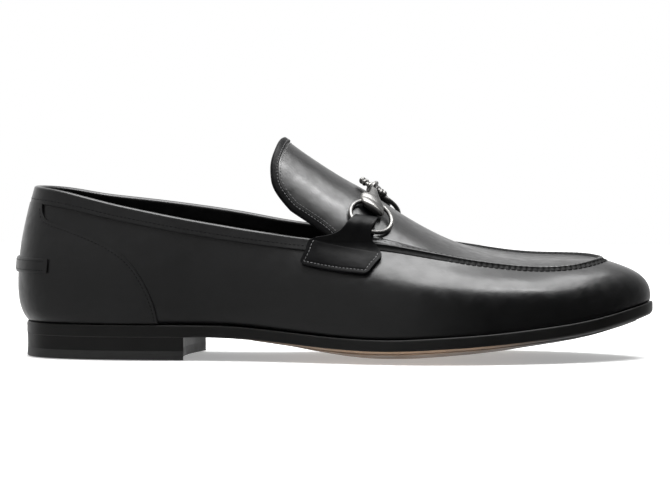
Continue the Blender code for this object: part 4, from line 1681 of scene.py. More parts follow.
    def build_heel(self) -> None:
        """Builds the stacked heel of two lifts and the top piece under it."""
        sizes = self.bench.last.sizes
        low, high = sizes.top_piece + 0.02 * MM, sizes.heel_height - 0.02 * MM
        half = self.heel_inset + self.heel_taper / 2
        seam = (low + high) / 2
        inset, closet = self.heel_inset, self.bench.wardrobe
        self.slab("heel_stack", ((half, low), (half, seam), (inset, high)), closet.heel, "heel")
        foot = ((inset + 0.45 * MM, 0.0), (inset + 0.12 * MM, 0.12 * MM), (inset, 0.45 * MM))
        self.slab("heel_rubber_lift", (*foot, (half, sizes.top_piece)), closet.rubber, "heel_top_piece")

    def build_insole(self) -> None:
        """Builds the insole with its sock, laid on the sole's upper face."""
        last, sizes = self.bench.last, self.bench.last.sizes
        columns = 18
        bm = bmesh.new()

        def place(column: int, row: int) -> Vector:
            """A point of the insole's lower face."""
            across = 2 * row / columns - 1
            turn = math.pi * column / self.stations
            share = (1 - math.cos(turn)) / 2
            inset = self.insole_inset + self.insole_toe_inset * max(0.0, share - 0.85) / 0.15
            edge = last.sole.rim(turn, -1 if across < 0 else 1, inset)
            line = last.middle(edge.x)
            flat = Vector((edge.x, line + abs(across) * (edge.y - line), 0))
            return last.on_sole(flat, 2 * sizes.gap + sizes.wall)

        laid_grid(bm, self.stations, columns, place)
        merge(bm)
        turn_from(bm, DEEP)
        piece = self.bench.piece("insole_sock", bm, [self.bench.wardrobe.lining], 40, ("insole",))
        self.bench.wall(piece, self.insole, Layer.OUTWARD)

    def build(self) -> None:
        """Builds every piece of the sole."""
        self.build_outsole()
        self.build_channel()
        self.build_heel()
        self.build_insole()


@dataclass
class UpperShell:
    """Vamp, quarters, apron and tongue as one hollow wall."""

    bench: Bench
    stations: int = 160
    junction: int = 84
    lower_rows: int = 14
    upper_rows: int = 36
    arch_columns: int = 48
    tongue_rows: int = 30

    def build(self) -> None:
        """Builds the shell with its lining."""
        last, sizes = self.bench.last, self.bench.last.sizes
        levels = [i / self.lower_rows for i in range(self.lower_rows)]
        levels += [1 + i / self.upper_rows for i in range(self.upper_rows + 1)]
        bm = bmesh.new()

        def band(column: int, row: int) -> Vector:
            """A point of the side."""
            k = column - self.stations
            turn, side = math.pi * abs(k) / self.stations, -1 if k < 0 else 1
            if row == 0:
                inset = -sizes.feather_inset - sizes.lasting_margin
                return last.on_sole(last.sole.offset(turn, side, inset), sizes.gap)
            level = levels[row - 1]
            point = last.side_point(turn, side, level)
            sink = last.worn(point) * ease((2 - level) / 0.15)
            if abs(sink) > 1e-6:
                point = point - last.side_normal(side * turn, level) * sink
            return point

        def arch(column: int, row: int) -> Vector:
            """A point of apron or tongue."""
            across = 2 * column / self.arch_columns - 1
            if row < self.tongue_rows:
                x, across = last.tongue_place(1 - row / self.tongue_rows, across)
            else:
                turn = math.pi * (self.junction + row - self.tongue_rows) / self.stations
                x = last.top.x_at(turn)
            return last.arch_point(x, across)

        laid_grid(bm, 2 * self.stations, len(levels), band)
        laid_grid(bm, self.arch_columns, self.tongue_rows + self.stations - self.junction, arch)
        merge(bm, 0.02 * MM)
        turn_from(bm)
        closet = self.bench.wardrobe
        piece = self.bench.piece("upper_leather", bm, [closet.calf, closet.lining], 38, ("upper",))
        self.bench.wall(piece, sizes.wall, Layer.INWARD, 1, 1)


@dataclass
class ApronSeam:
    """Raised seam round the apron, its outer face gathered in small pleats."""

    bench: Bench
    start: float = 123 * MM
    fade: float = 7 * MM
    columns: int = 900
    pleat: float = 2.65 * MM
    puff: float = 0.62 * MM
    foot: float = 3.3 * MM
    crest_out: float = 1.05 * MM
    crest_up: float = 0.95 * MM
    gathered: float = 156 * MM

    def turns(self) -> tuple[float, float]:
        """Angles at which the seam starts and ends, below zero on the outer side."""
        begin = self.bench.last.top.turn_at(self.start)
        return -begin, -(2 * math.pi - begin)

    def spot(self, ring_turn: float) -> tuple[float, int]:
        """Angle and side of an angle that may run past the toe.

        Args:
            ring_turn: The angle.

        Returns:
            Angle from the back, and side.
        """
        turn, side = abs(ring_turn), -1
        if turn > math.pi:
            turn, side = 2 * math.pi - turn, 1
        return turn, side

    def build(self) -> None:
        """Builds the seam as one strip, with the stitches on its inner slope."""
        last = self.bench.last
        begin, end = self.turns()
        heads, outs, slopes, fades, sides = [], [], [], [], []
        for i in range(self.columns + 1):
            ring_turn = lerp(begin, end, i / self.columns)
            turn, side = self.spot(ring_turn)
            heads.append(last.topline(turn, side))
            outs.append(last.top.outward(turn, side))
            share = (1 - math.cos(turn)) / 2
            slopes.append(math.radians(TOPLINE_HEIGHT.at("slope", share)))
            fades.append(ease((heads[-1].x - self.start) / self.fade))
            sides.append(side)
        trail = Trail(heads, [Vector((0, 0, 1))] * len(heads))
        # Inner slope of the seam: how far in, and height over the topline.
        inner = ((-3.4, -0.55), (-2.7, -0.02), (-2.0, 0.16), (-1.35, 0.42), (-0.75, 0.72))
        wall_rows = 12
        rows = len(inner) + 3 + wall_rows

        def place(column: int, row: int) -> Vector:
            """A point of the seam's section."""
            head, out, slope, fade = heads[column], outs[column], slopes[column], fades[column]
            run = trail.runs[column]
            lobe = abs(math.sin(math.pi * run / self.pleat)) ** 0.55
            lobe = lerp(0.6, lobe, 0.12 + 0.88 * ease((head.x - self.gathered) / (20 * MM)))
            turn, side = self.spot(lerp(begin, end, column / self.columns))
            if row < len(inner):
                away, up = inner[row]
                base = self.apron_point(head, turn, side, -away * MM)
                lift = up * MM * fade + (0 if row else -0.3 * MM)
                return base + Vector((0, 0, lift - 0.35 * MM * (1 - fade)))
            step = row - len(inner)
            if step < 3:
                away = (-0.15 * MM, self.crest_out * 0.55, self.crest_out)[step]
                up = (0.96 * MM, 1.02 * MM, self.crest_up - 0.12 * MM)[step]
                up += 0.06 * MM * (lobe - 0.6)
                return head + out * away * fade + Vector((0, 0, up * fade - 0.4 * MM * (1 - fade)))
            share = (step - 2) / (wall_rows + 1)
            foot = self.foot * (1.0 + 0.10 * lobe)
            low = out * foot * math.cos(slope) - Vector((0, 0, foot * math.sin(slope) + 0.25 * MM))
            high = out * self.crest_out + Vector((0, 0, self.crest_up - 0.2 * MM))
            face = (low - high).normalized()
            normal = Vector((0, 0, 1)).cross(out).cross(face).normalized()
            if normal.dot(out) < 0:
                normal = -normal
            swell = self.puff * (lobe - 0.35) * math.sin(math.pi * share**1.5) ** 0.7
            dip = 0.38 * MM * math.sin(math.pi * min(share * 1.35, 1.0))
            full = high.lerp(low, share) + normal * (swell - dip)
            return head + full * fade - Vector((0, 0, 0.4 * MM * (1 - fade)))

        bm = bmesh.new()
        crest = (len(inner) + 2.5) / (rows - 1)
        made = bmesh.ops.create_grid(bm, x_segments=self.columns, y_segments=rows - 1, size=1)
        # Painted shade: the pleated wall takes the darker, duller copy of the calf. On the inner side,
        # turned away from the camera, the crest and most of the slope inside it take it too.
        for face in bm.faces:
            middle = face.calc_center_median()
            far = sides[int((middle.x + 1) / 2 * self.columns)] > 0
            face.material_index = int((middle.y + 1) / 2 > (2.4 / (rows - 1) if far else crest))
        for vert in made["verts"]:
            column = round((vert.co.x + 1) / 2 * self.columns)
            vert.co = place(column, round((vert.co.y + 1) / 2 * (rows - 1)))
        merge(bm, 0.002 * MM)
        turn_from(bm, DEEP)
        closet = self.bench.wardrobe
        piece = self.bench.piece("apron_seam", bm, [closet.calf, closet.seam], 70)
        self.bench.wall(piece, 0.5 * MM, Layer.INWARD)
        self.stitch(heads, outs, trail, begin, end)

    def apron_point(self, head: Vector, turn: float, side: int, inward: float) -> Vector:
        """A point of the apron, in from the seam.

        Args:
            head: The seam's point on the topline.
            turn: Its angle from the back.
            side: Its side.
            inward: How far in.

        Returns:
            The point on the apron.
        """
        last = self.bench.last
        flat = head - last.top.outward(turn, side) * inward
        half = last.top.half_width(last.top.turn_at(flat.x), 1 if flat.y > last.middle(flat.x) else -1)
        offset = flat.y - last.middle(flat.x)
        arch = math.radians(RIDGE.at("arch", last.along(flat.x)))
        share = min(abs(offset) / max(half, 0.1 * MM), 1.0)
        across = math.asin(share * math.sin(arch)) / arch
        return last.arch_point(flat.x, across * (1 if offset > 0 else -1))

    def stitch(self, heads: list[Vector], outs: list[Vector], trail: Trail, begin: float,
               end: float) -> None:
        """Sews the row of stitches that shows on the seam's inner slope.

        Args:
            heads: Points of the topline.
            outs: Its outward directions.
            trail: The topline as a line; not used.
            begin: Angle at its start.
            end: Angle at its end.
        """
        points, normals = [], []
        for i in range(0, self.columns + 1, 3):
            turn, side = self.spot(lerp(begin, end, i / self.columns))
            point = self.apron_point(heads[i], turn, side, 1.15 * MM)
            points.append(point + Vector((0, 0, 0.52 * MM)))
            normals.append((Vector((0, 0, 1)) - outs[i] * 0.45).normalized())
        row = Trail(points, normals)
        bm = bmesh.new()
        sewing = Stitching(length=1.65 * MM, gap=1.0 * MM, width=0.4 * MM, height=0.26 * MM)
        count = sewing.sew(bm, row, self.fade + 2 * MM, row.length - self.fade - 2 * MM)
        LOG.info("apron seam: %d stitches", count)
        self.bench.piece("apron_stitches", bm, [self.bench.wardrobe.thread])


@dataclass
class Quarters:
    """What is sewn on the quarters: heel counter, back tab and collar binding."""

    bench: Bench
    counter_thick: float = 0.8 * MM
    binding_thick: float = 0.7 * MM
    binding_back: float = 7.2 * MM
    binding_front: float = 5.2 * MM
    binding_end: float = 103 * MM
    tab_thick: float = 1.1 * MM
    tab_height: float = 6.2 * MM
    tab_reach: float = 29 * MM

    def build_counter(self) -> None:
        """Builds the heel counter, its edge sweeping down and forward to the sole."""
        last, sizes = self.bench.last, self.bench.last.sizes
        top = last.topline(0.0, -1).z - 6.0 * MM - 3 * sizes.gap
        columns, rows = 128, 44

        def seat(share: float, way: float, lift: float) -> Vector:
            """A point on the counter at a share of its height and a way round it."""
            ring_turn = last.counter_turn(share, top) * way
            base = last.ring_side(ring_turn, 0.0).z + 2 * sizes.gap
            level = last.level_at(ring_turn, lerp(base, top, share))
            level = min(level, last.level_below(round(ring_turn, 5), 6.0 * MM + 3 * sizes.gap))
            return last.side_above(ring_turn, level, lift)

        def place(column: int, row: int) -> Vector:
            """A point of the counter's inner face."""
            share = row / rows
            share = 1 - (1 - share) ** 1.15
            way = math.sin(math.pi / 2 * (2 * column / columns - 1))
            return seat(share, way, sizes.overlay_gap - 0.2 * MM)

        bm = bmesh.new()
        laid_grid(bm, columns, rows, place)
        merge(bm)
        turn_from(bm)
        closet = self.bench.wardrobe
        piece = self.bench.piece("counter_panel", bm, [closet.calf], 50, ("heel_counter",))
        self.bench.wall(piece, self.counter_thick, Layer.OUTWARD)
        self.bench.soften(piece, 0.22 * MM, 3)
        bm = bmesh.new()
        count = 0
        sewing = Stitching(length=1.35 * MM, gap=0.5 * MM)
        lift = sizes.overlay_gap - 0.2 * MM + self.counter_thick
        for side in (-1, 1):
            points, outs = [], []
            for i in range(121):
                share = i / 120
                ring_turn = last.counter_turn(round(share, 5), top) * side
                point = seat(share, side, lift)
                points.append(point)
                level = last.level_at(ring_turn, point.z)
                outs.append(last.side_normal(ring_turn, level))
            row = Trail(points, outs).beside(-1.5 * MM * side)
            count += sewing.sew(bm, row, 1.5 * MM, row.length - 1.0 * MM)
        self.bench.piece("counter_stitches", bm, [closet.thread])
        LOG.info("heel counter: %d stitches", count)

    def build_tab(self) -> None:
        """Builds the puffed band that crosses the back seam."""
        last, sizes = self.bench.last, self.bench.last.sizes
        columns, rows = 72, 16
        centre = last.sole_edge(sizes.back) + sizes.sole_edge + 0.415 * sizes.quarter_height
        stand = sizes.overlay_gap + self.counter_thick - 0.3 * MM
        reach = self.tab_reach / math.sqrt(sizes.heel_round * sizes.sole_length / 2)

        def seat(share: float, up: float, lift: float) -> Vector:
            """A point of the tab."""
            ring_turn = share * reach
            level = last.level_at(ring_turn, centre + self.tab_height * up)
            return last.side_above(ring_turn, level, lift)

        def place(column: int, row: int) -> Vector:
            """A point of the tab's inner face, raised in its middle."""
            share = math.sin(math.pi / 2 * (2 * column / columns - 1))
            up = row / rows - 0.5
            crown = (1 - (2 * up) ** 4) * (1 - share**6)
            return seat(share, up, stand + 0.35 * MM * crown)

        bm = bmesh.new()
        laid_grid(bm, columns, rows, place)
        merge(bm)
        turn_from(bm)
        closet = self.bench.wardrobe
        piece = self.bench.piece("back_tab", bm, [closet.calf], 50, ("heel_tab",))
        self.bench.wall(piece, self.tab_thick, Layer.OUTWARD)
        self.bench.soften(piece, 0.35 * MM, 3)
        bm = bmesh.new()
        sewing = Stitching(length=1.2 * MM, gap=0.45 * MM)
        for up in (-0.34, 0.34):
            points, outs = [], []
            for i in range(61):
                share = 0.95 * (2 * i / 60 - 1)
                points.append(seat(share, up, stand + self.tab_thick + 0.26 * MM))
                outs.append(last.side_normal(share * reach, last.level_at(share * reach, centre)))
            sewing.sew(bm, Trail(points, outs))
        self.bench.piece("tab_stitches", bm, [closet.thread])

    def build_binding(self) -> None:
        """Builds the folded strip over the collar's edge, with its row of stitches."""
        last, sizes = self.bench.last, self.bench.last.sizes
        columns = 240
        end = last.top.turn_at(self.binding_end)
        lift = 0.12 * MM + self.binding_thick / 2
        inner = sizes.wall + lift
        fold = (sizes.wall + 2 * lift) / 2
        section = [(1.0 - i / 9, lift) for i in range(9)]
        section += [
            (-math.sin(math.pi * i / 12) * 0.62, fold * math.cos(math.pi * i / 12) - fold + lift)
            for i in range(13)
        ]
        section += [(i / 5, -inner) for i in range(1, 6)]

        def place(column: int, row: int) -> Vector:
            """A point of the strip's middle layer."""
            share = 2 * column / columns - 1
            ring_turn = end * share
            wide = lerp(self.binding_back, self.binding_front, abs(share) ** 1.3)
            depth, out = section[row]
            if depth > 0:
                level = last.level_below(ring_turn, depth * wide)
                point = last.ring_side(ring_turn, level)
                return point + last.side_normal(ring_turn, level) * out
            rise = (last.ring_side(ring_turn, 2.0) - last.ring_side(ring_turn, 1.96)).normalized()
            point = last.ring_side(ring_turn, 2.0) + last.side_normal(ring_turn, 1.98) * out
            return point - rise * (depth * fold)

        bm = bmesh.new()
        laid_grid(bm, columns, len(section) - 1, place)
        merge(bm)
        turn = -0.5 * end
        spot = last.ring_side(turn, last.level_below(turn, 0.5 * self.binding_back))
        face_toward(bm, spot, last.side_normal(turn, 1.9))
        closet = self.bench.wardrobe
        piece = self.bench.piece("collar_strip", bm, [closet.calf], 60, ("collar_binding",))
        self.bench.wall(piece, self.binding_thick, Layer.MIDDLE)
        self.bench.soften(piece, 0.16 * MM, 2)
        points, outs = [], []
        for i in range(181):
            share = 2 * i / 180 - 1
            ring_turn = end * share
            wide = lerp(self.binding_back, self.binding_front, abs(share) ** 1.3)
            level = last.level_below(round(ring_turn, 6), wide - 2.1 * MM)
            normal = last.side_normal(ring_turn, level)
            points.append(last.ring_side(ring_turn, level) + normal * (lift + 0.36 * MM))
            outs.append(normal)
        bm = bmesh.new()
        row = Trail(points, outs)
        count = Stitching(length=1.5 * MM, gap=0.5 * MM).sew(bm, row, 1 * MM, row.length - 1 * MM)
        LOG.info("collar strip: %d stitches", count)
        self.bench.piece("collar_stitches", bm, [closet.thread])

    def build(self) -> None:
        """Builds all three."""
        self.build_counter()
        self.build_tab()
        self.build_binding()


@dataclass
class TongueTrim:
    """Narrow strip folded over the tongue's free edge, sewn with two rows."""

    bench: Bench
    depth: float = 2.5 * MM
    thick: float = 0.7 * MM
    start: float = 0.012

    def seat(self, share: float) -> tuple[Vector, Vector, Vector]:
        """Edge point with the directions into the tongue and out of the leather.

        Args:
            share: Share of the way along the free edge.

        Returns:
            The point, inward and outward.
        """
        last = self.bench.last
        x, across = last.tongue_edge(share)
        point = last.arch_point(x, across)
        ahead = last.arch_point(*last.tongue_edge(min(share + 0.006, 1.0)))
        behind = last.arch_point(*last.tongue_edge(max(share - 0.006, 0.0)))
        normal = last.arch_normal(x, across)
        inward = normal.cross((ahead - behind).normalized()).normalized()
        toward_toe = last.arch_point(x + 3 * self.depth, across * 0.9) - point
        return point, inward if inward.dot(toward_toe) > 0 else -inward, normal

    def build(self) -> None:
        """Builds the strip and its stitches."""
        sizes = self.bench.last.sizes
        columns = 260
        lift = 0.15 * MM + self.thick / 2
        fold = (sizes.wall + 2 * lift) / 2
        section = [(self.depth * (1 - i / 6), lift) for i in range(6)]
        section += [
            (-math.sin(math.pi * i / 10) * fold * 0.62, fold * math.cos(math.pi * i / 10) - fold + lift)
            for i in range(11)
        ]
        section += [(self.depth * i / 4, -sizes.wall - lift) for i in range(1, 5)]
        seats = [self.seat(lerp(self.start, 1 - self.start, i / columns)) for i in range(columns + 1)]
        smooth = []
        for i in range(columns + 1):
            near = seats[max(i - 4, 0) : i + 5]
            inward = sum((seat[1] for seat in near), Vector()).normalized()
            smooth.append((seats[i][0], inward, seats[i][2]))

        def place(column: int, row: int) -> Vector:
            """A point of the strip's middle layer."""
            point, inward, normal = smooth[column]
            depth, out = section[row]
            return point + inward * depth + normal * out

        bm = bmesh.new()
        laid_grid(bm, columns, len(section) - 1, place)
        merge(bm, 0.004 * MM)
        face_toward(bm, smooth[columns // 2][0], smooth[columns // 2][2])
        closet = self.bench.wardrobe
        piece = self.bench.piece("tongue_strip", bm, [closet.trim], 60, ("tongue_binding",))
        self.bench.wall(piece, self.thick, Layer.MIDDLE)
        self.bench.soften(piece, 0.14 * MM, 2)
        bm = bmesh.new()
        sewing = Stitching(length=1.25 * MM, gap=0.45 * MM, width=0.4 * MM)
        for depth, up in ((self.depth - 0.75 * MM, lift + 0.36 * MM), (self.depth + 1.1 * MM, 0.02 * MM)):
            points = [seat[0] + seat[1] * depth + seat[2] * up for seat in smooth]
            row = Trail(points, [seat[2] for seat in smooth])
            sewing.sew(bm, row, 1 * MM, row.length - 1 * MM)
        # These stitches take the light grey thread with its painted glints.
        self.bench.piece("tongue_stitches", bm, [closet.painted_glint_thread])


@dataclass
class Straps:
    """A strap on each side, sewn down under a patch and looped over the ring's wire."""

    bench: Bench
    thick: float = 1.0 * MM
    patch_thick: float = 0.9 * MM
    patch_run: float = 0.30
    rows: int = 110
    columns: int = 22

    def build_strap(self, label: str, side: Side) -> None:
        """Builds one strap.

        Args:
            label: Its side in words.
            side: Its side.
        """
        last = self.bench.last

        def place(column: int, row: int) -> Vector:
            """A point of the strap's middle layer, with the furrows of its loop."""
            run = row / self.rows
            share = 2 * column / self.columns - 1
            furrow = 0.08 * MM * math.sin(7 * share + 5 * run) * ease((run - 0.28) / 0.12)
            furrow *= ease((0.85 - run) / 0.2) * (1 - share**4)
            share = self.cut(share, run)
            return last.strap_seat(side, round(run, 6), round(share, 6), furrow)

        bm = bmesh.new()
        laid_grid(bm, self.columns, self.rows, place)
        merge(bm)
        self.face_up(bm, side)
        name = "strap_" + label
        piece = self.bench.piece(name + "_leather", bm, [self.bench.wardrobe.trim], 60, (name,))
        self.bench.wall(piece, self.thick, Layer.MIDDLE)
        self.bench.soften(piece, 0.25 * MM, 3)

    def cut(self, share: float, run: float) -> float:
        """Place across the strap, drawn in where the two corners of its foot are rounded.

        Args:
            share: Place across, from -1 to 1.
            run: Place along, from 0 at the foot.

        Returns:
            The place across on the rounded outline.
        """
        return share * (1 - 0.11 * (1 - min(run / (0.17 * self.patch_run), 1.0)) ** 2.2)

    def face_up(self, bm: Mesh, side: Side) -> None:
        """Turns a strap so that its base faces out of the shoe."""
        spot, above = (self.bench.last.strap_seat(side, 0.1, 0.0, lift) for lift in (0.0, MM))
        face_toward(bm, spot, above - spot)

    def build_patch(self, label: str, side: Side) -> None:
        """Builds one patch with the stitches along three of its edges.

        Args:
            label: Its side in words.
            side: Its side.
        """
        last = self.bench.last
        lift = self.thick / 2 + 0.1 * MM + self.patch_thick / 2
        columns, rows = 40, 22

        def seat(share: float, up: float, extra: float) -> Vector:
            """A point of the patch."""
            run = self.patch_run * up
            share = self.cut(share, run)
            return last.strap_seat(side, round(run, 6), round(share, 6), lift + extra)

        def place(column: int, row: int) -> Vector:
            """A point of the patch's middle layer, sunk along its stitches."""
            share = math.sin(math.pi / 2 * (2 * column / columns - 1))
            up = row / rows
            from_side = (1 - abs(share)) * 16.7 * MM
            from_foot = up * 12.6 * MM
            away = min(from_side, from_foot)
            groove = 0.16 * MM * math.exp(-(((away - 1.9 * MM) / (0.55 * MM)) ** 2))
            crown = 0.10 * MM * ease((min(from_side, from_foot, (1 - up) * 12.6 * MM) - 2 * MM) / (4 * MM))
            return seat(share, up, crown - groove)

        bm = bmesh.new()
        laid_grid(bm, columns, rows, place)
        merge(bm)
        self.face_up(bm, side)
        closet = self.bench.wardrobe
        name = "strap_patch_" + label
        piece = self.bench.piece(name + "_leather", bm, [closet.trim], 60, (name,))
        self.bench.wall(piece, self.patch_thick, Layer.MIDDLE)
        self.bench.soften(piece, 0.26 * MM, 3)
        edge = 1 - 1.9 / 16.7
        corner = 1.9 / 12.6
        route = [(-edge, lerp(1.0, corner, i / 24)) for i in range(24)]
        route += [(lerp(-edge, edge, i / 60), corner) for i in range(60)]
        route += [(edge, lerp(corner, 1.0, i / 24)) for i in range(25)]
        points = [seat(share, up, self.patch_thick / 2 - 0.06 * MM) for share, up in route]
        outs = [(seat(s, u, MM) - seat(s, u, 0)).normalized() for s, u in route]
        bm = bmesh.new()
        Stitching(length=1.25 * MM, gap=0.45 * MM, width=0.42 * MM).sew(bm, Trail(points, outs))
        # These stitches take the light grey thread with its painted glints.
        self.bench.piece(name + "_stitches", bm, [closet.painted_glint_thread])

    def build(self) -> None:
        """Builds both sides."""
        for label, side in (("lateral", Side.OUTER), ("medial", Side.INNER)):
            self.build_strap(label, side)
            self.build_patch(label, side)


@dataclass
class Snaffle:
    """The bit: a ring on each side, two half bars and the link that joins them."""

    bench: Bench
    place_x: float = 125.4 * MM
    ring_radius: float = 10 * MM
    wire: float = 1.05 * MM
    ring_stand: float = 1.7 * MM
    ring_up: float = 14.6 * MM
    boss_length: float = 13.5 * MM
    boss_radius: float = 2.7 * MM
    boss_in: float = 1.9 * MM
    boss_lean: float = math.radians(28)
    bar_radius: float = 1.7 * MM
    bar_rise: float = 1.6 * MM
    link_length: float = 12.0 * MM
    link_width: float = 7.6 * MM
    link_stand: float = 3.2 * MM
    link_back: float = 2.8 * MM
    beads: int = 12
    bead: float = 1.65 * MM

    def ring_seat(self, side: int) -> Frame3:
        """Centre and directions of a ring.

        Args:
            side: Its side.

        Returns:
            The frame, up being up the girth.
        """
        girth = self.bench.last.girth_point
        seat = girth(self.place_x, self.ring_up, side, 0)
        reach = self.ring_radius
        up = girth(self.place_x, self.ring_up + reach, side, 0)
        up = (up - girth(self.place_x, self.ring_up - reach, side, 0)).normalized()
        ahead = girth(self.place_x + 0.8 * reach, self.ring_up, side, 0)
        along = ahead - girth(self.place_x - 0.8 * reach, self.ring_up, side, 0)
        out = along.cross(up)
        out = (out if out.z > 0 else -out).normalized()
        forward = up.cross(out) if up.cross(out).x > 0 else out.cross(up)
        return Frame3(seat + out * self.ring_stand, forward.normalized(), up, out)

    def link_seat(self) -> Frame3:
        """Centre and directions of the link over the ridge."""
        arch = self.bench.last.arch_point
        forward = (arch(self.place_x + 4 * MM, 0) - arch(self.place_x - 4 * MM, 0)).normalized()
        up = Vector((0, 1, 0))
        out = forward.cross(up).normalized()
        centre = arch(self.place_x, 0) + out * self.link_stand - forward * self.link_back
        return Frame3(centre, forward, up, out)

    def build_ring(self, label: str, side: Side) -> None:
        """Builds one ring.

        Args:
            label: Its side in words.
            side: Its side.
        """
        bm = bmesh.new()
        ring_of_wire(bm, self.ring_seat(side), self.ring_radius, self.ring_radius, self.wire, 96, 20)
        bmesh.ops.recalc_face_normals(bm, faces=bm.faces)
        silver = self.bench.wardrobe.silver
        self.bench.piece("bit_ring_" + label, bm, [silver], 60, ("ring_" + label,))

    def build_link(self) -> None:
        """Builds the joining link."""
        bm = bmesh.new()
        seat = self.link_seat()
        half = (self.link_length / 2, self.link_width / 2)
        ring_of_wire(bm, seat, *half, 0.9 * self.wire, 72, 18)
        for i in range(self.beads):
            turn = 2 * math.pi * (i + 0.5) / self.beads
            side, along = seat.up * math.sin(turn), seat.forward * math.cos(turn)
            core = seat.centre + along * half[0] + side * half[1]
            ahead = (seat.up * math.cos(turn) * half[1] - seat.forward * math.sin(turn) * half[0])
            ahead.normalize()
            wide = seat.out.cross(ahead).normalized()
            turned = Matrix((ahead, wide, seat.out)).transposed().to_4x4()
            scale = Matrix.Diagonal((0.75 * self.bead, self.bead, self.bead, 1.0))
            bmesh.ops.create_uvsphere(bm, u_segments=16, v_segments=10, radius=1.0,
                                      matrix=Matrix.Translation(core) @ turned @ scale)
        bmesh.ops.recalc_face_normals(bm, faces=bm.faces)
        self.bench.piece("bit_joint", bm, [self.bench.wardrobe.silver], 60, ("bit_link",))

    def build_bar(self, label: str, side: Side) -> None:
        """Builds half of the mouthpiece: boss, neck and the eye that holds the link.

        Args:
            label: Its side in words.
            side: Its side.
        """
        ring, link = self.ring_seat(side), self.link_seat()
        start = ring.centre + ring.up * (self.ring_radius - self.boss_in)
        eye = link.centre + link.up * side * self.link_width / 2
        eye_radius = 2.0 * self.wire
        reach = 1 - eye_radius / (eye - start).length
        boss, bar = (self.boss_length, self.boss_radius), self.bar_radius
        # Sections from the boss to the eye: share of the way, half length and half height.
        shape = Curve(
            "share long high",
            (-0.30, 0.30 * boss[0], 0.40 * boss[1]),
            (-0.27, 0.40 * boss[0], 0.66 * boss[1]),
            (-0.22, 0.45 * boss[0], 0.86 * boss[1]),
            (-0.12, 0.49 * boss[0], 0.98 * boss[1]),
            (0.00, 0.50 * boss[0], 1.00 * boss[1]),
            (0.11, 0.49 * boss[0], 0.98 * boss[1]),
            (0.20, 0.44 * boss[0], 0.92 * boss[1]),
            (0.27, 0.36 * boss[0], 0.82 * boss[1]),
            (0.34, 2.20 * bar, 1.25 * bar),
            (0.45, 1.60 * bar, 1.12 * bar),
            (0.60, 1.18 * bar, 0.98 * bar),
            (0.80, 0.98 * bar, 0.84 * bar),
            (1.00, 0.80 * bar, 0.66 * bar),
        )
        rows, around = 64, 40
        bm = bmesh.new()

        def place(column: int, row: int) -> Vector:
            """A point of the bar's skin."""
            share = lerp(-0.30, 1.0, row / rows)
            long_half, high_half = shape.at("long", share), shape.at("high", share)
            way = share * reach
            core = start.lerp(eye, way)
            rise = self.bar_rise * math.sin(math.pi * max(way, 0))
            core = core + ring.out.lerp(link.out, way) * rise
            turn = 2 * math.pi * column / around
            lean = self.boss_lean * (1 - ease((share - 0.15) / 0.5))
            wide = ring.forward * math.cos(lean) - ring.up * math.sin(lean)
            wide = wide.lerp(link.forward, max(way, 0)).normalized()
            high = ring.out.lerp(link.out, max(way, 0)).normalized()
            return core + wide * long_half * math.cos(turn) + high * high_half * math.sin(turn)

        laid_grid(bm, around, rows, place)
        close_outwards(bm)
        seat = Frame3(eye, link.up, link.out, link.forward)
        ring_of_wire(bm, seat, eye_radius, eye_radius, 1.1 * self.wire, 40, 14)
        bmesh.ops.recalc_face_normals(bm, faces=bm.faces)
        silver = self.bench.wardrobe.silver
        self.bench.piece("bit_half_" + label, bm, [silver], 60, ("bit_bar_" + label,))

    def build(self) -> None:
        """Builds the whole bit."""
        for label, side in (("lateral", Side.OUTER), ("medial", Side.INNER)):
            self.build_ring(label, side)
            self.build_bar(label, side)
        self.build_link()


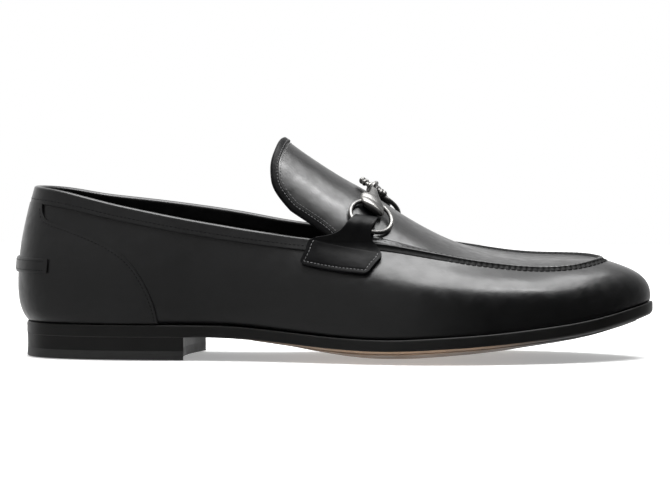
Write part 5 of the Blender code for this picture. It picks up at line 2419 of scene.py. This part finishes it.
@dataclass
class Studio:
    """White floor, soft lights and the camera that sees the shoe as the photo does."""

    azimuth: float = 5.0
    elevation: float = 3.1
    distance: float = 2.0
    target: tuple[float, float, float] = (0.107, 0.0, 0.050)
    lens: float = 228.64
    floor_drop: float = 0.35 * MM
    floor_reach: float = 1.0
    floor_glow: float = 0.33
    spot_power: float = 62.0
    beside: tuple[float, float, float, float] = (-0.15, 0.32, 0.34, 0.02)
    behind: tuple[float, float, float, float] = (0.0, 0.85, 0.0, 0.7)

    def build_camera(self) -> None:
        """Sets up the camera."""
        turn, lift = math.radians(self.azimuth), math.radians(self.elevation)
        back = Vector((math.sin(turn) * math.cos(lift), -math.cos(turn) * math.cos(lift),
                       math.sin(lift)))
        data = bpy.data.cameras.new("camera")
        data.lens = self.lens
        data.sensor_width = 36
        data.clip_start = 0.05
        data.clip_end = 50
        camera = bpy.data.objects.new("camera", data)
        camera.location = Vector(self.target) + back * self.distance
        camera.rotation_euler = back.to_track_quat("Z", "Y").to_euler()
        bpy.context.scene.collection.objects.link(camera)
        bpy.context.scene.camera = camera

    def build_floor(self) -> None:
        """Lays the floor just under the heel and the tread."""
        bm = bmesh.new()
        reach = self.floor_reach
        bmesh.ops.create_grid(bm, x_segments=8, y_segments=8, size=reach)
        bmesh.ops.translate(bm, verts=bm.verts, vec=(self.target[0], 0, -self.floor_drop))
        bmesh.ops.recalc_face_normals(bm, faces=bm.faces)
        turn_from(bm, DEEP)
        mesh = bpy.data.meshes.new("floor")
        bm.to_mesh(mesh)
        bm.free()
        pen = Pen("floor_paper")
        colour = pen.mix(pen.noise(3), (0.90, 0.90, 0.90), (0.915, 0.915, 0.915))
        mesh.materials.append(
            pen.finish(Base_Color=colour, Roughness=0.9, Specular_IOR_Level=0.1,
                       Emission_Color=(1, 1, 1, 1), Emission_Strength=self.floor_glow)
        )
        floor = bpy.data.objects.new("floor", mesh)
        floor.visible_glossy = False
        bpy.context.scene.collection.objects.link(floor)

    def softbox(self, name: str, place: Vector, aim: Vector, size: tuple[float, float],
                glow: float) -> None:
        """Hangs a soft light.

        Args:
            name: Its name.
            place: Where it hangs.
            aim: What it faces.
            size: Its length and width.
            glow: Its brightness, the paper's white being 1.
        """
        data = bpy.data.lights.new(name, "AREA")
        data.shape = "RECTANGLE"
        data.size, data.size_y = size
        data.energy = glow * math.pi * size[0] * size[1]
        light = bpy.data.objects.new(name, data)
        light.location = place
        light.rotation_euler = (place - aim).to_track_quat("Z", "Y").to_euler()
        bpy.context.scene.collection.objects.link(light)

    def spot(self, place: Vector, aim: Vector) -> None:
        """Points a soft spotlight at the tongue.

        Args:
            place: Where it stands.
            aim: What it faces.
        """
        data = bpy.data.lights.new("tongue_spot", "SPOT")
        data.energy = self.spot_power
        data.shadow_soft_size = 0.20
        data.spot_size = math.radians(10.5)
        data.spot_blend = 1.0
        light = bpy.data.objects.new("tongue_spot", data)
        light.location = place
        light.rotation_euler = (place - aim).to_track_quat("Z", "Y").to_euler()
        bpy.context.scene.collection.objects.link(light)

    def build_lights(self) -> None:
        """Hangs the lights and sets the white surroundings."""
        heart = Vector((0.11, 0, 0.03))
        self.softbox("overhead", Vector((0.12, 0.0, 1.2)), heart, (1.15, 1.15), 7.4)
        self.spot(Vector((0.29, -0.08, 0.60)), Vector((0.084, -0.020, 0.088)))
        world = bpy.data.worlds.new("surroundings")
        bpy.context.scene.world = world
        world.use_nodes = True
        tree = world.node_tree
        seen = tree.nodes.new("ShaderNodeLightPath").outputs["Is Camera Ray"]
        heading = tree.nodes.new("ShaderNodeTexCoord").outputs["Generated"]
        apart = tree.nodes.new("ShaderNodeSeparateXYZ")
        tree.links.new(heading, apart.inputs[0])
        both = tree.nodes.new("ShaderNodeMath")
        for i, (axis, ends) in enumerate((("X", self.beside), ("Y", self.behind))):
            fall = tree.nodes.new("ShaderNodeMapRange")
            tree.links.new(apart.outputs[axis], fall.inputs["Value"])
            for name, value in zip(("From Min", "From Max", "To Min", "To Max"), ends):
                fall.inputs[name].default_value = value
            tree.links.new(fall.outputs["Result"], both.inputs[i])
        mix = tree.nodes.new("ShaderNodeMix")
        mix.data_type = "RGBA"
        mix.inputs[7].default_value = (1, 1, 1, 1)
        tree.links.new(both.outputs[0], mix.inputs[6])
        tree.links.new(seen, mix.inputs[0])
        back = tree.nodes["Background"]
        tree.links.new(mix.outputs[2], back.inputs["Color"])
        back.inputs["Strength"].default_value = 1.0
        bpy.context.scene.view_settings.view_transform = "Standard"

    def build(self) -> None:
        """Sets up the whole studio."""
        self.build_camera()
        self.build_floor()
        self.build_lights()


# Soft troughs, and ridges where the depth is below zero, that wear has left in the leather.
CREASES = (
    Crease((0.070, 0.052), (0.084, 0.026), 7 * MM, 0.35 * MM),
    Crease((0.150, 0.050), (0.166, 0.022), 9 * MM, 0.30 * MM),
)


def main() -> None:
    """Builds the shoe piece by piece and the studio round it."""
    logging.basicConfig(level=logging.INFO, format="%(message)s")
    last = Last(LastSizes(), CREASES)
    bench = Bench(last, Wardrobe())
    Studio().build()
    SoleUnit(bench).build()
    UpperShell(bench).build()
    ApronSeam(bench).build()
    Quarters(bench).build()
    TongueTrim(bench).build()
    Straps(bench).build()
    Snaffle(bench).build()


if __name__ == "__main__":
    main()
